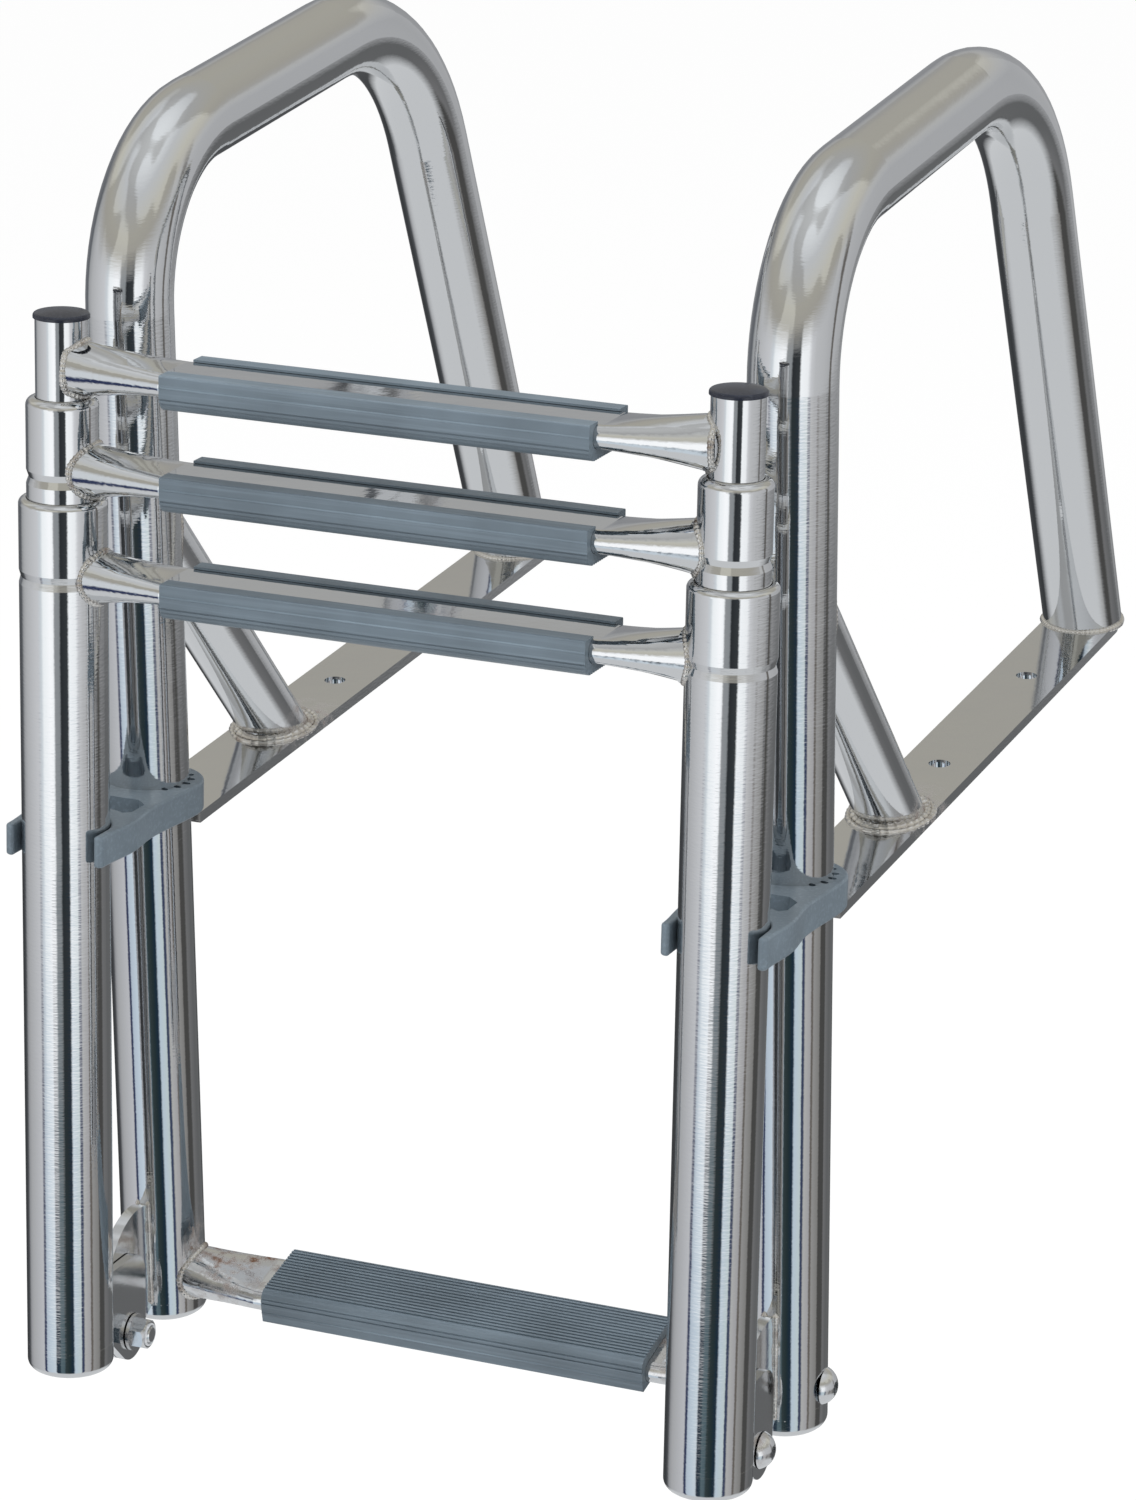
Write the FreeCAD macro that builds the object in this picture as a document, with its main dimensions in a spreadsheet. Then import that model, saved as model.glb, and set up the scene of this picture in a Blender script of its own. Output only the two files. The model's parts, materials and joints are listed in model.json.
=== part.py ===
import FreeCAD, Part
import os
import Sketcher

"""Folding swim ladder: a fixed frame with two bent handrails, and a telescoping ladder hinged on its lower end.

Frame: X across (left side at 0), Y back towards the boat, Z up.
The origin is on the underside of the left foot bar, midway between its two fixing holes.
Pieces are drawn with Y counted from the rails' axes, and place() moves them to that origin.
"""

V = FreeCAD.Vector
doc = FreeCAD.newDocument("swim_ladder")
sheet = doc.addObject("Spreadsheet::Sheet", "Sizes")

SIZES = [
    ("tube_spacing", 303, "left to right tube axes"),
    ("rail_dia", 38, "handrail tube"),
    ("rail_wall", 1.2, "handrail wall"),
    ("rail_drop", 233.7, "rail end below the foot bars"),
    ("rail_straight", 239.9, "upright up to the first bend"),
    ("front_bend", 68.5, "first bend radius, on the axis"),
    ("top_rise", 1.9, "rise of the top run, degrees"),
    ("top_run", 135.9, "length of the top run"),
    ("rear_bend", 116, "second bend radius, on the axis"),
    ("leg_lean", 22.6, "rear leg from the vertical, degrees"),
    ("end_round", 9, "corner radius of a closed tube end"),
    ("bar_width", 34.5, "foot bar"),
    ("bar_thick", 5, "foot bar"),
    ("bar_start", 17, "foot bar end at the rail"),
    ("bar_hole_dia", 10, "fixing hole"),
    ("bar_hole_first", 196.5, "first fixing hole from the rail axis"),
    ("bar_hole_pitch", 127, "between the fixing holes"),
    ("brace_dia", 30, "brace tube"),
    ("brace_wall", 1.2, "brace wall"),
    ("brace_foot", 129.8, "brace axis on the foot bar"),
    ("brace_angle", 48.4, "brace from the horizontal, degrees"),
    ("pin_reach", 46.5, "hinge pin to either tube axis"),
    ("pin_drop", 224.5, "hinge pin below the foot bars"),
    ("pin_dia", 8, "hinge bolt shank"),
    ("pin_play", 0.05, "radial clearance on the hinge bolt"),
    ("side_play", 0.5, "clearance beside the gusset and bolt head"),
    ("gusset_thick", 5, "hinge plate on the rail"),
    ("gusset_top", 50, "gusset top above the pin"),
    ("gusset_brow", 40, "front corner of the gusset above the pin"),
    ("gusset_sweep", 31, "radius of the gusset's curved brow"),
    ("gusset_bite", 2, "gusset drawn into the rail before the cope"),
    ("eye_radius", 13, "plate edge round the pin"),
    ("cheek_thick", 4, "hinge bracket cheek"),
    ("cheek_top", 36, "cheek top above the pin"),
    ("cheek_round", 12, "rear corner of a cheek"),
    ("cheek_foot", 12, "cheek lower corner above the pin level"),
    ("head_dia", 16.5, "domed bolt head"),
    ("head_high", 5.5, "domed bolt head"),
    ("washer_dia", 17, "hinge washer"),
    ("washer_thick", 1.6, "hinge washer"),
    ("nut_flats", 13, "hinge nut across flats"),
    ("nut_high", 6.5, "hinge nut"),
    ("nut_chamfer", 0.5, "nut's chamfer across the flats"),
    ("bolt_tail", 1.2, "bolt end beyond the nut"),
    ("ladder_lean", 3.74, "stowed ladder leans back, degrees"),
    ("outer_dia", 38, "outer tube"),
    ("mid_dia", 31, "middle tube"),
    ("inner_dia", 22.6, "inner tube"),
    ("tube_wall", 1.2, "telescoping tubes"),
    ("slide_play", 0.3, "radial clearance between sliding tubes"),
    ("outer_foot", 1.3, "outer tube's closed end above the pin level"),
    ("outer_rim", 398.3, "outer tube's rim above the pin level"),
    ("rim_step", 43.4, "from one rim to the next"),
    ("rim_land", 0.5, "flat ring left on a spun-in rim"),
    ("groove_below", 34, "rolled groove below its rim"),
    ("groove_half", 3, "half width of the rolled groove"),
    ("groove_share", 0.4, "rolled groove's depth as a share of the bush's wall"),
    ("bush_long", 36, "guide bush"),
    ("foot_gap", 9, "from a sliding tube's foot to the closed end"),
    ("foot_thick", 12, "guide foot"),
    ("foot_stem", 10, "guide foot's stem"),
    ("cap_stand", 34, "cap above the middle tube's rim"),
    ("cap_high", 3.4, "domed cap"),
    ("cap_brim", 0.8, "upright edge of the cap"),
    ("cap_round", 1.4, "rounding of the cap's edge"),
    ("cap_over", 0.8, "cap rim beyond the tube"),
    ("cap_stem", 12, "cap plug"),
    ("rung_dia", 25, "rung tube"),
    ("rung_wall", 1.2, "rung wall"),
    ("rung_flat", 10, "thickness of the flattened middle"),
    ("rung_wide", 33.5, "width of the flattened middle"),
    ("rung_taper", 53, "tube axis to the flattened middle"),
    ("rung_seam", 40, "corner of the flattening seen from the rung's axis, degrees"),
    ("rung_bite", 0.6, "where a rung starts, as a share of the carrying tube's radius"),
    ("rung_rest", 13, "rung axis above the rim below it"),
    ("rung_groove", 33, "lowest rung axis below its rim"),
    ("tread_inset", 55.5, "tube axis to the tread's end"),
    ("tread_play", 0.15, "clearance between a tread and its rung"),
    ("tread_wide", 41, "tread"),
    ("tread_deck", 4.5, "tread thickness under foot"),
    ("tread_lip", 1, "lip over the far side of the rung"),
    ("tread_round", 6.5, "edge radius of the deck"),
    ("lip_round", 0.9, "edge radius of the lips"),
    ("edge_line_first", 0.6, "first line on a tread's rounded edge, from where the rounding starts"),
    ("edge_line_pitch", 1.9, "from one edge line to the next"),
    ("edge_line_wide", 0.7, "width of an edge line"),
    ("edge_line_deep", 0.5, "depth of an edge line"),
    ("rib_pitch", 2.2, "between the tread's grooves"),
    ("rib_wide", 1, "tread groove"),
    ("rib_deep", 0.7, "tread groove"),
    ("rib_count", 15, "grooves on a tread"),
    ("step_drop", 213.6, "fixed step's axis below the foot bars"),
    ("step_tilt", 9, "fixed step tips forward, degrees"),
    ("step_inset", 59, "rail axis to the fixed step's tread"),
    ("step_bolt_bite", 14, "step bolt in the step"),
    ("clip_high", 14, "clip"),
    ("clip_wall", 5, "clip wall"),
    ("clip_level", 19.5, "clip's middle at the rail axis above the bars"),
    ("clip_tilt", 8.8, "clip rises towards the ladder, degrees"),
    ("clip_play", 0.4, "clip arms to the outer tube"),
    ("clip_reach", 13, "clip arms beyond the outer tube's axis"),
    ("clip_tip_round", 3.5, "rounded tips of the clip's arms"),
    ("clip_thin", 0.8, "how much thinner an arm is at its tip"),
    ("clip_window", 7.5, "half length of the hole in the clip's web"),
    ("clip_window_half", 5, "half width of the hole in the clip's web"),
    ("clip_window_side", 3.5, "half length of the hole's straight sides"),
]
for row, (alias, value, meaning) in enumerate(SIZES, start=1):
    sheet.set("A%d" % row, alias)
    sheet.set("B%d" % row, str(value))
    sheet.set("C%d" % row, meaning)
    sheet.setAlias("B%d" % row, alias)
doc.recompute()

PIECES = []


def value(expression):
    """The number that an expression over the sheet gives."""
    result = sheet.evalExpression(expression)
    return float(getattr(result, "Value", result))


def bound(text):
    """An expression over the sheet, as another object writes it."""
    out = text
    for alias, _, _ in SIZES:
        out = out.replace("<%s>" % alias, "Sizes." + alias)
    return out


def plain(text):
    """The same expression as the sheet itself writes it."""
    return text.replace("<", "").replace(">", "")


def number(text):
    return value(plain(text))


def bind(target, **paths):
    """Bind properties to expressions; a double underscore stands for a dot."""
    for path, text in paths.items():
        target.setExpression(path.replace("__", "."), bound(text))


def place(piece, across="0", back="0", up="0", axis=None, angle=None):
    """Give a piece its place, each coordinate bound to the sheet."""
    back = "(%s - <bar_hole_first> - <bar_hole_pitch> / 2)" % back
    rotation = FreeCAD.Rotation()
    if axis is not None:
        rotation = FreeCAD.Rotation(axis, number(angle))
    piece.Placement = FreeCAD.Placement(V(number(across), number(back), number(up)), rotation)
    bind(piece, Placement__Base__x=across, Placement__Base__y=back, Placement__Base__z=up)
    if axis is not None:
        bind(piece, Placement__Rotation__Angle=angle)


PIN_Y = "(0 - <pin_reach>)"
PIN_Z = "(0 - <pin_drop>)"
LADDER_BACK = "(0 - <pin_reach> - <pin_reach> * cos(<ladder_lean>))"
LADDER_UP = "(0 - <pin_drop> + <pin_reach> * sin(<ladder_lean>))"
SIDES = (("left", "0"), ("right", "<tube_spacing>"))


def place_on_ladder(piece, across="0"):
    """Place a piece drawn with Z along the stowed ladder and the tube axis on Z, pin level at 0."""
    place(piece, across, LADDER_BACK, LADDER_UP, V(-1, 0, 0), "<ladder_lean>")


def new_body(label):
    body = doc.addObject("PartDesign::Body", label)
    body.Label = label
    return body


def keep(piece, label):
    """Mark a finished piece for export under its label."""
    piece.Label = label
    PIECES.append((label, piece))
    return piece


def origin_plane(body, role):
    return next(f for f in body.Origin.OriginFeatures if f.Role == role)


def new_sketch(body, name, role, offset="0"):
    """A sketch on one of the body's own planes, moved along its normal by offset."""
    sketch = body.newObject("Sketcher::SketchObject", name)
    sketch.AttachmentSupport = [(origin_plane(body, role), "")]
    sketch.MapMode = "FlatFace"
    sketch.AttachmentOffset = FreeCAD.Placement(V(0, 0, number(offset)), FreeCAD.Rotation())
    if offset != "0":
        bind(sketch, AttachmentOffset__Base__z=offset)
    return sketch


def pin_point(sketch, geometry, point, across, up, name):
    """Hold a point of a sketch at bound coordinates."""
    for kind, text, tag in (("DistanceX", across, "x"), ("DistanceY", up, "y")):
        index = sketch.addConstraint(Sketcher.Constraint(kind, -1, 1, geometry, point, number(text)))
        sketch.renameConstraint(index, name + tag)
        sketch.setExpression("Constraints." + name + tag, bound(text))


def arc_through(start, end, radius, turn):
    """The arc of a radius from start to end; turn is +1 when it bulges to the right of the way."""
    chord = end - start
    half = chord.Length / 2
    rise = max(radius * radius - half * half, 0) ** 0.5
    side = V(chord.y, -chord.x, 0).normalize() * turn
    centre = (start + end) * 0.5 - side * rise
    middle = centre + side * radius
    return Part.Arc(start, middle, end)


def outline(sketch, points, tag="p"):
    """Draw a closed outline. Each entry is (x, y) or (x, y, radius, turn) for an arc to the next point."""
    corners = [V(number(entry[0]), number(entry[1]), 0) for entry in points]
    first = sketch.GeometryCount
    for index, entry in enumerate(points):
        start = corners[index]
        end = corners[(index + 1) % len(points)]
        if len(entry) == 4:
            sketch.addGeometry(arc_through(start, end, number(entry[2]), entry[3]))
        else:
            sketch.addGeometry(Part.LineSegment(start, end))
    ends = []
    for index, entry in enumerate(points):
        begin, finish = 1, 2
        if len(entry) == 4 and entry[3] < 0:
            begin, finish = 2, 1
        ends.append((begin, finish))
    count = len(points)
    for index in range(count):
        following = (index + 1) % count
        sketch.addConstraint(Sketcher.Constraint(
            "Coincident", first + index, ends[index][1], first + following, ends[following][0]))
    for index, entry in enumerate(points):
        pin_point(sketch, first + index, ends[index][0], entry[0], entry[1], "%s%d" % (tag, index))
        if len(entry) == 4:
            chord = corners[(index + 1) % count] - corners[index]
            if abs(chord.Length / 2 - number(entry[2])) > 1e-6:
                rule, text = Sketcher.Constraint("Radius", first + index, number(entry[2])), entry[2]
            elif abs(chord.x) > abs(chord.y):
                text = entry[1]
                rule = Sketcher.Constraint("DistanceY", -1, 1, first + index, 3, number(text))
            else:
                text = entry[0]
                rule = Sketcher.Constraint("DistanceX", -1, 1, first + index, 3, number(text))
            at = sketch.addConstraint(rule)
            sketch.renameConstraint(at, "%s%dr" % (tag, index))
            sketch.setExpression("Constraints.%s%dr" % (tag, index), bound(text))
    return sketch


def ring(sketch, across, up, radius, tag="c"):
    """Draw a full circle at a bound place."""
    index = sketch.addGeometry(Part.Circle(V(number(across), number(up), 0), V(0, 0, 1), number(radius)))
    pin_point(sketch, index, 3, across, up, tag)
    at = sketch.addConstraint(Sketcher.Constraint("Radius", index, number(radius)))
    sketch.renameConstraint(at, tag + "r")
    sketch.setExpression("Constraints." + tag + "r", bound(radius))
    return sketch


def pad(body, sketch, length, name, both=False, back=False):
    feature = body.newObject("PartDesign::Pad", name)
    feature.Profile = sketch
    feature.Length = number(length)
    bind(feature, Length=length)
    feature.Midplane = both
    feature.Reversed = back
    return feature


def through(body, sketch, name):
    """Cut a sketch both ways through everything."""
    feature = body.newObject("PartDesign::Pocket", name)
    feature.Profile = sketch
    feature.Type = "ThroughAll"
    feature.Midplane = True
    return feature


def groove_out(body, sketch, length, name, back=True):
    """Cut a sketch away over a length."""
    feature = body.newObject("PartDesign::Pocket", name)
    feature.Profile = sketch
    feature.Type = "Length"
    feature.Reversed = back
    feature.Length = number(length)
    bind(feature, Length=length)
    return feature


def revolve(body, sketch, name):
    """Turn a profile round the sketch's upright axis."""
    feature = body.newObject("PartDesign::Revolution", name)
    feature.Profile = sketch
    feature.ReferenceAxis = (sketch, ["V_Axis"])
    feature.Angle = 360
    return feature


# Handrails: one bent tube each, closed and rounded at the lower end, cut flat on the foot bar.
def rail_path(body):
    """The handrail's axis: upright, bend, top run, bend, rear leg."""
    sketch = new_sketch(body, body.Label + "_path", "YZ_Plane")
    turn_one = "(90 - <top_rise>)"
    a_y = "(<front_bend> * (1 - cos(%s)))" % turn_one
    a_z = "(<rail_straight> + <front_bend> * sin(%s))" % turn_one
    b_y = "(%s + <top_run> * cos(<top_rise>))" % a_y
    b_z = "(%s + <top_run> * sin(<top_rise>))" % a_z
    c_y = "(%s + <rear_bend> * (sin(<top_rise>) + cos(<leg_lean>)))" % b_y
    c_z = "(%s - <rear_bend> * (cos(<top_rise>) - sin(<leg_lean>)))" % b_z
    d_z = "(0 - <rail_dia>)"
    d_y = "(%s + (%s - %s) * tan(<leg_lean>))" % (c_y, c_z, d_z)
    stations = [("0", "(<end_round> - <rail_drop>)"), ("0", "<rail_straight>"), (a_y, a_z), (b_y, b_z),
                (c_y, c_z), (d_y, d_z)]
    corners = [V(number(across), number(up), 0) for across, up in stations]
    bends = {1: ("<front_bend>", -1), 3: ("<rear_bend>", -1)}
    for index in range(5):
        start, end = corners[index], corners[index + 1]
        if index in bends:
            radius, turn = bends[index]
            sketch.addGeometry(arc_through(start, end, number(radius), turn))
        else:
            sketch.addGeometry(Part.LineSegment(start, end))
    begin = {index: 2 if index in bends else 1 for index in range(5)}
    for index in range(4):
        finish = 1 if index in bends else 2
        sketch.addConstraint(Sketcher.Constraint("Coincident", index, finish, index + 1, begin[index + 1]))
    for index in range(5):
        pin_point(sketch, index, begin[index], stations[index][0], stations[index][1], "s%d" % index)
    pin_point(sketch, 4, 2, d_y, d_z, "end")
    for index, (radius, _) in bends.items():
        at = sketch.addConstraint(Sketcher.Constraint("Radius", index, number(radius)))
        sketch.renameConstraint(at, "bend%d" % index)
        sketch.setExpression("Constraints.bend%d" % index, bound(radius))
    return sketch


FOOT_Y = ("(<front_bend> * (1 - cos(90 - <top_rise>)) + <top_run> * cos(<top_rise>)"
          " + <rear_bend> * (sin(<top_rise>) + cos(<leg_lean>))"
          " + (<rail_straight> + <front_bend> * sin(90 - <top_rise>) + <top_run> * sin(<top_rise>)"
          " - <rear_bend> * (cos(<top_rise>) - sin(<leg_lean>)) - <bar_thick>) * tan(<leg_lean>))")


def closed_end(body, name, radius, wall, bottom):
    """The rounded closed end of a tube, as a turned shell."""
    sketch = new_sketch(body, name + "_profile", "XZ_Plane")
    top = "(%s + <end_round>)" % bottom
    inner = "(%s - %s)" % (radius, wall)
    outline(sketch, [
        ("0", bottom),
        ("(%s - <end_round>)" % radius, bottom, "<end_round>", 1),
        (radius, top),
        (inner, top, "(<end_round> - %s)" % wall, -1),
        ("(%s - <end_round>)" % radius, "(%s + %s)" % (bottom, wall)),
        ("0", "(%s + %s)" % (bottom, wall)),
    ])
    return revolve(body, sketch, name)


for side, across in SIDES:
    body = new_body(side + "_rail")
    closed_end(body, side + "_rail_end", "(<rail_dia> / 2)", "<rail_wall>", "(0 - <rail_drop>)")
    path = rail_path(body)
    section = new_sketch(body, side + "_rail_section", "XY_Plane", "(<end_round> - <rail_drop>)")
    ring(section, "0", "0", "(<rail_dia> / 2)", "outer")
    ring(section, "0", "0", "(<rail_dia> / 2 - <rail_wall>)", "inner")
    pipe = body.newObject("PartDesign::AdditivePipe", side + "_rail_pipe")
    pipe.Profile = section
    pipe.Spine = (path, [])
    doc.recompute()
    sole = new_sketch(body, side + "_rail_sole", "XY_Plane", "<bar_thick>")
    outline(sole, [
        ("(0 - <rail_dia>)", "(%s - 2 * <rail_dia>)" % FOOT_Y),
        ("<rail_dia>", "(%s - 2 * <rail_dia>)" % FOOT_Y),
        ("<rail_dia>", "(%s + 3 * <rail_dia>)" % FOOT_Y),
        ("(0 - <rail_dia>)", "(%s + 3 * <rail_dia>)" % FOOT_Y),
    ])
    groove_out(body, sole, "(3 * <rail_dia>)", side + "_rail_foot_cut", back=False)
    holes = new_sketch(body, side + "_rail_bolt_hole", "YZ_Plane")
    ring(holes, "0", "(0 - <step_drop>)", "(<pin_dia> / 2 + <pin_play>)")
    through(body, holes, side + "_rail_bolt_way")
    place(body, across)
    keep(body, side + "_rail")

# Foot bars: flat bars welded to the back of each rail, with the fixing holes.
for side, across in SIDES:
    body = new_body(side + "_foot_bar")
    plan = new_sketch(body, side + "_bar_plan", "XY_Plane")
    half = "(<bar_width> / 2)"
    cope = "sqrt(<rail_dia> * <rail_dia> / 4 - <bar_start> * <bar_start>)"
    outline(plan, [
        ("(0 - %s)" % half, "<bar_start>"),
        ("(0 - %s)" % cope, "<bar_start>", "(<rail_dia> / 2)", -1),
        (cope, "<bar_start>"),
        (half, "<bar_start>"),
        (half, FOOT_Y, half, 1),
        ("(0 - %s)" % half, FOOT_Y),
    ])
    pad(body, plan, "<bar_thick>", side + "_bar_plate")
    holes = new_sketch(body, side + "_bar_holes", "XY_Plane")
    ring(holes, "0", "<bar_hole_first>", "(<bar_hole_dia> / 2)", "near")
    ring(holes, "0", "(<bar_hole_first> + <bar_hole_pitch>)", "(<bar_hole_dia> / 2)", "far")
    through(body, holes, side + "_bar_drilled")
    place(body, across)
    keep(body, side + "_foot_bar")

# Braces: straight tubes between the back of the rail and the foot bar, coped to both.
for side, across in SIDES:
    long = "((<brace_foot> / cos(<brace_angle>)) + 2 * <brace_dia>)"
    tubes = []
    for kind, radius in (("skin", "(<brace_dia> / 2)"), ("bore", "(<brace_dia> / 2 - <brace_wall>)")):
        tube = doc.addObject("Part::Cylinder", side + "_brace_" + kind)
        bind(tube, Radius=radius, Height=long)
        place(tube, across, "(<brace_foot> + <brace_dia> * cos(<brace_angle>))",
              "(<bar_thick> - <brace_dia> * sin(<brace_angle>))", V(1, 0, 0), "(90 - <brace_angle>)")
        tubes.append(tube)
    hollow = doc.addObject("Part::Cut", side + "_brace_tube")
    hollow.Base, hollow.Tool = tubes
    rail_core = doc.addObject("Part::Cylinder", side + "_rail_core")
    bind(rail_core, Radius="(<rail_dia> / 2)", Height="(2 * <rail_straight>)")
    place(rail_core, across)
    coped = doc.addObject("Part::Cut", side + "_brace_coped")
    coped.Base, coped.Tool = hollow, rail_core
    under = doc.addObject("Part::Box", side + "_brace_under")
    bind(under, Length="(2 * <brace_dia>)", Width="(4 * <brace_dia>)", Height="(2 * <brace_dia>)")
    place(under, "(%s - <brace_dia>)" % across, "(<brace_foot> - <brace_dia>)", "(<bar_thick> - 2 * <brace_dia>)")
    stood = doc.addObject("Part::Cut", side + "_brace")
    stood.Base, stood.Tool = coped, under
    front = doc.addObject("Part::Box", side + "_brace_front")
    bind(front, Length="(2 * <brace_dia>)", Width="(4 * <brace_dia>)", Height="(2 * <rail_straight>)")
    place(front, "(%s - <brace_dia>)" % across, "(0 - 4 * <brace_dia>)", "0")
    trimmed = doc.addObject("Part::Cut", side + "_brace_whole")
    trimmed.Base, trimmed.Tool = stood, front
    keep(trimmed, side + "_brace")


def tangent_point(cx, cz, radius, px, pz, way):
    """Where the line from point p touches a circle; way is +1 or -1 for the two sides."""
    reach = "sqrt((%s - %s) * (%s - %s) + (%s - %s) * (%s - %s))" % (px, cx, px, cx, pz, cz, pz, cz)
    angle = "(atan2(%s - %s; %s - %s) %s acos(%s / %s))" % (pz, cz, px, cx, "+" if way > 0 else "-", radius, reach)
    return "(%s + %s * cos(%s))" % (cx, radius, angle), "(%s + %s * sin(%s))" % (cz, radius, angle)


# Gussets: the hinge plates welded to the front of each rail's lower end.
for side, across in SIDES:
    body = new_body(side + "_gusset")
    plate = new_sketch(body, side + "_gusset_plan", "YZ_Plane")
    heel_z = "(<end_round> - <rail_drop>)"
    heel_y = "(<gusset_bite> - <rail_dia> / 2)"
    low_y, low_z = tangent_point(PIN_Y, PIN_Z, "<eye_radius>", heel_y, heel_z, -1)
    outline(plate, [
        (heel_y, heel_z),
        (heel_y, "(%s + <gusset_top>)" % PIN_Z),
        ("(0 - <rail_dia> / 2)", "(%s + <gusset_top>)" % PIN_Z, "<gusset_sweep>", 1),
        ("(%s - <eye_radius>)" % PIN_Y, "(%s + <gusset_brow> - <eye_radius>)" % PIN_Z),
        ("(%s - <eye_radius>)" % PIN_Y, PIN_Z, "<eye_radius>", 1),
        (low_y, low_z),
    ])
    pad(body, plate, "<gusset_thick>", side + "_gusset_plate", both=True)
    eye = new_sketch(body, side + "_gusset_eye", "YZ_Plane")
    ring(eye, PIN_Y, PIN_Z, "(<pin_dia> / 2 + <pin_play>)")
    through(body, eye, side + "_gusset_bore")
    seat = new_sketch(body, side + "_gusset_seat", "XY_Plane")
    ring(seat, "0", "0", "(<rail_dia> / 2)")
    through(body, seat, side + "_gusset_cope")
    place(body, across)
    keep(body, side + "_gusset")

# Hinge brackets: two cheeks on the back of each outer tube, one each side of the gusset.
for side, across in SIDES:
    body = new_body(side + "_hinge_bracket")
    gap = "(<gusset_thick> / 2 + <side_play>)"
    root_y = "(<outer_dia> / 2 - <cheek_thick>)"
    low_y, low_z = tangent_point("<pin_reach>", "0", "<eye_radius>", root_y, "<cheek_foot>", 1)
    cheek = [
        (root_y, "<cheek_foot>"),
        (low_y, low_z, "<eye_radius>", 1),
        ("(<pin_reach> + <eye_radius>)", "0"),
        ("(<pin_reach> + <eye_radius>)", "(<cheek_top> - <cheek_round>)", "<cheek_round>", 1),
        ("(<pin_reach> + <eye_radius> - <cheek_round>)", "<cheek_top>"),
        (root_y, "<cheek_top>"),
    ]
    near = new_sketch(body, side + "_cheek_near", "YZ_Plane", gap)
    outline(near, cheek)
    pad(body, near, "<cheek_thick>", side + "_cheek_near_plate")
    far = new_sketch(body, side + "_cheek_far", "YZ_Plane", "(0 - %s)" % gap)
    outline(far, cheek)
    pad(body, far, "<cheek_thick>", side + "_cheek_far_plate", back=True)
    bridge = new_sketch(body, side + "_cheek_bridge", "YZ_Plane")
    outline(bridge, [
        (root_y, "<cheek_foot>"),
        ("(<outer_dia> / 2 + <cheek_thick>)", "<cheek_foot>"),
        ("(<outer_dia> / 2 + <cheek_thick>)", "<cheek_top>"),
        (root_y, "<cheek_top>"),
    ])
    pad(body, bridge, "(2 * (%s + <cheek_thick>))" % gap, side + "_cheek_web", both=True)
    eye = new_sketch(body, side + "_cheek_eye", "YZ_Plane")
    ring(eye, "<pin_reach>", "0", "(<pin_dia> / 2 + <pin_play>)")
    through(body, eye, side + "_cheek_bore")
    seat = new_sketch(body, side + "_cheek_seat", "XY_Plane")
    ring(seat, "0", "0", "(<outer_dia> / 2)")
    through(body, seat, side + "_cheek_cope")
    place_on_ladder(body, across)
    keep(body, side + "_hinge_bracket")

CHEEK_FACE = "(<gusset_thick> / 2 + <side_play> + <cheek_thick> + <side_play>)"


def domed_bolt(label, grip):
    """A bolt along its own Z: head below 0 with a domed face, shank up to grip."""
    body = new_body(label)
    profile = new_sketch(body, label + "_profile", "XZ_Plane")
    crown = "((<head_dia> * <head_dia> / 4 + <head_high> * <head_high>) / (2 * <head_high>))"
    outline(profile, [
        ("0", "(0 - <head_high>)", crown, 1),
        ("(<head_dia> / 2)", "0"),
        ("(<pin_dia> / 2)", "0"),
        ("(<pin_dia> / 2)", grip),
        ("0", grip),
    ])
    revolve(body, profile, label + "_turned")
    return body


# Hinge bolts, washers and nuts: head outside, nut inside.
OUTWARD = {"left": -1, "right": 1}
for side, across in SIDES:
    way = OUTWARD[side]
    sign = "-" if way < 0 else "+"
    inner = "+" if way < 0 else "-"
    axis = V(0, -way, 0)
    grip = "(2 * %s + <washer_thick> + <nut_high> + <bolt_tail>)" % CHEEK_FACE
    bolt = domed_bolt(side + "_hinge_bolt", grip)
    place(bolt, "(%s %s %s)" % (across, sign, CHEEK_FACE), PIN_Y, PIN_Z, axis, "90")
    keep(bolt, side + "_hinge_bolt")
    washer = new_body(side + "_hinge_washer")
    plan = new_sketch(washer, side + "_washer_plan", "XY_Plane")
    ring(plan, "0", "0", "(<washer_dia> / 2)", "rim")
    ring(plan, "0", "0", "(<pin_dia> / 2)", "bore")
    pad(washer, plan, "<washer_thick>", side + "_washer_disc")
    place(washer, "(%s %s %s)" % (across, inner, CHEEK_FACE), PIN_Y, PIN_Z, axis, "90")
    keep(washer, side + "_hinge_washer")
    nut = doc.addObject("Part::Prism", side + "_nut_hex")
    nut.Polygon = 6
    bind(nut, Circumradius="(<nut_flats> / sqrt(3))", Height="<nut_high>")
    crown = doc.addObject("Part::Cone", side + "_nut_crown")
    bind(crown, Radius1="(<nut_flats> / 2 + <nut_high>)", Radius2="(<nut_flats> / 2 - <nut_chamfer>)", Height="<nut_high>")
    shaped = doc.addObject("Part::Common", side + "_nut_shaped")
    shaped.Base, shaped.Tool = nut, crown
    bore = doc.addObject("Part::Cylinder", side + "_nut_bore")
    bind(bore, Radius="(<pin_dia> / 2)", Height="<nut_high>")
    drilled = doc.addObject("Part::Cut", side + "_nut_drilled")
    drilled.Base, drilled.Tool = shaped, bore
    place(drilled, "(%s %s (%s + <washer_thick>))" % (across, inner, CHEEK_FACE), PIN_Y, PIN_Z, axis, "90")
    keep(drilled, side + "_hinge_nut")

# Step bolts: through each rail into the fixed step.
for side, across in SIDES:
    way = OUTWARD[side]
    sign = "-" if way < 0 else "+"
    bolt = domed_bolt(side + "_step_bolt", "(<rail_dia> + <step_bolt_bite>)")
    place(bolt, "(%s %s <rail_dia> / 2)" % (across, sign), "0", "(0 - <step_drop>)", V(0, -way, 0), "90")
    keep(bolt, side + "_step_bolt")


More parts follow.
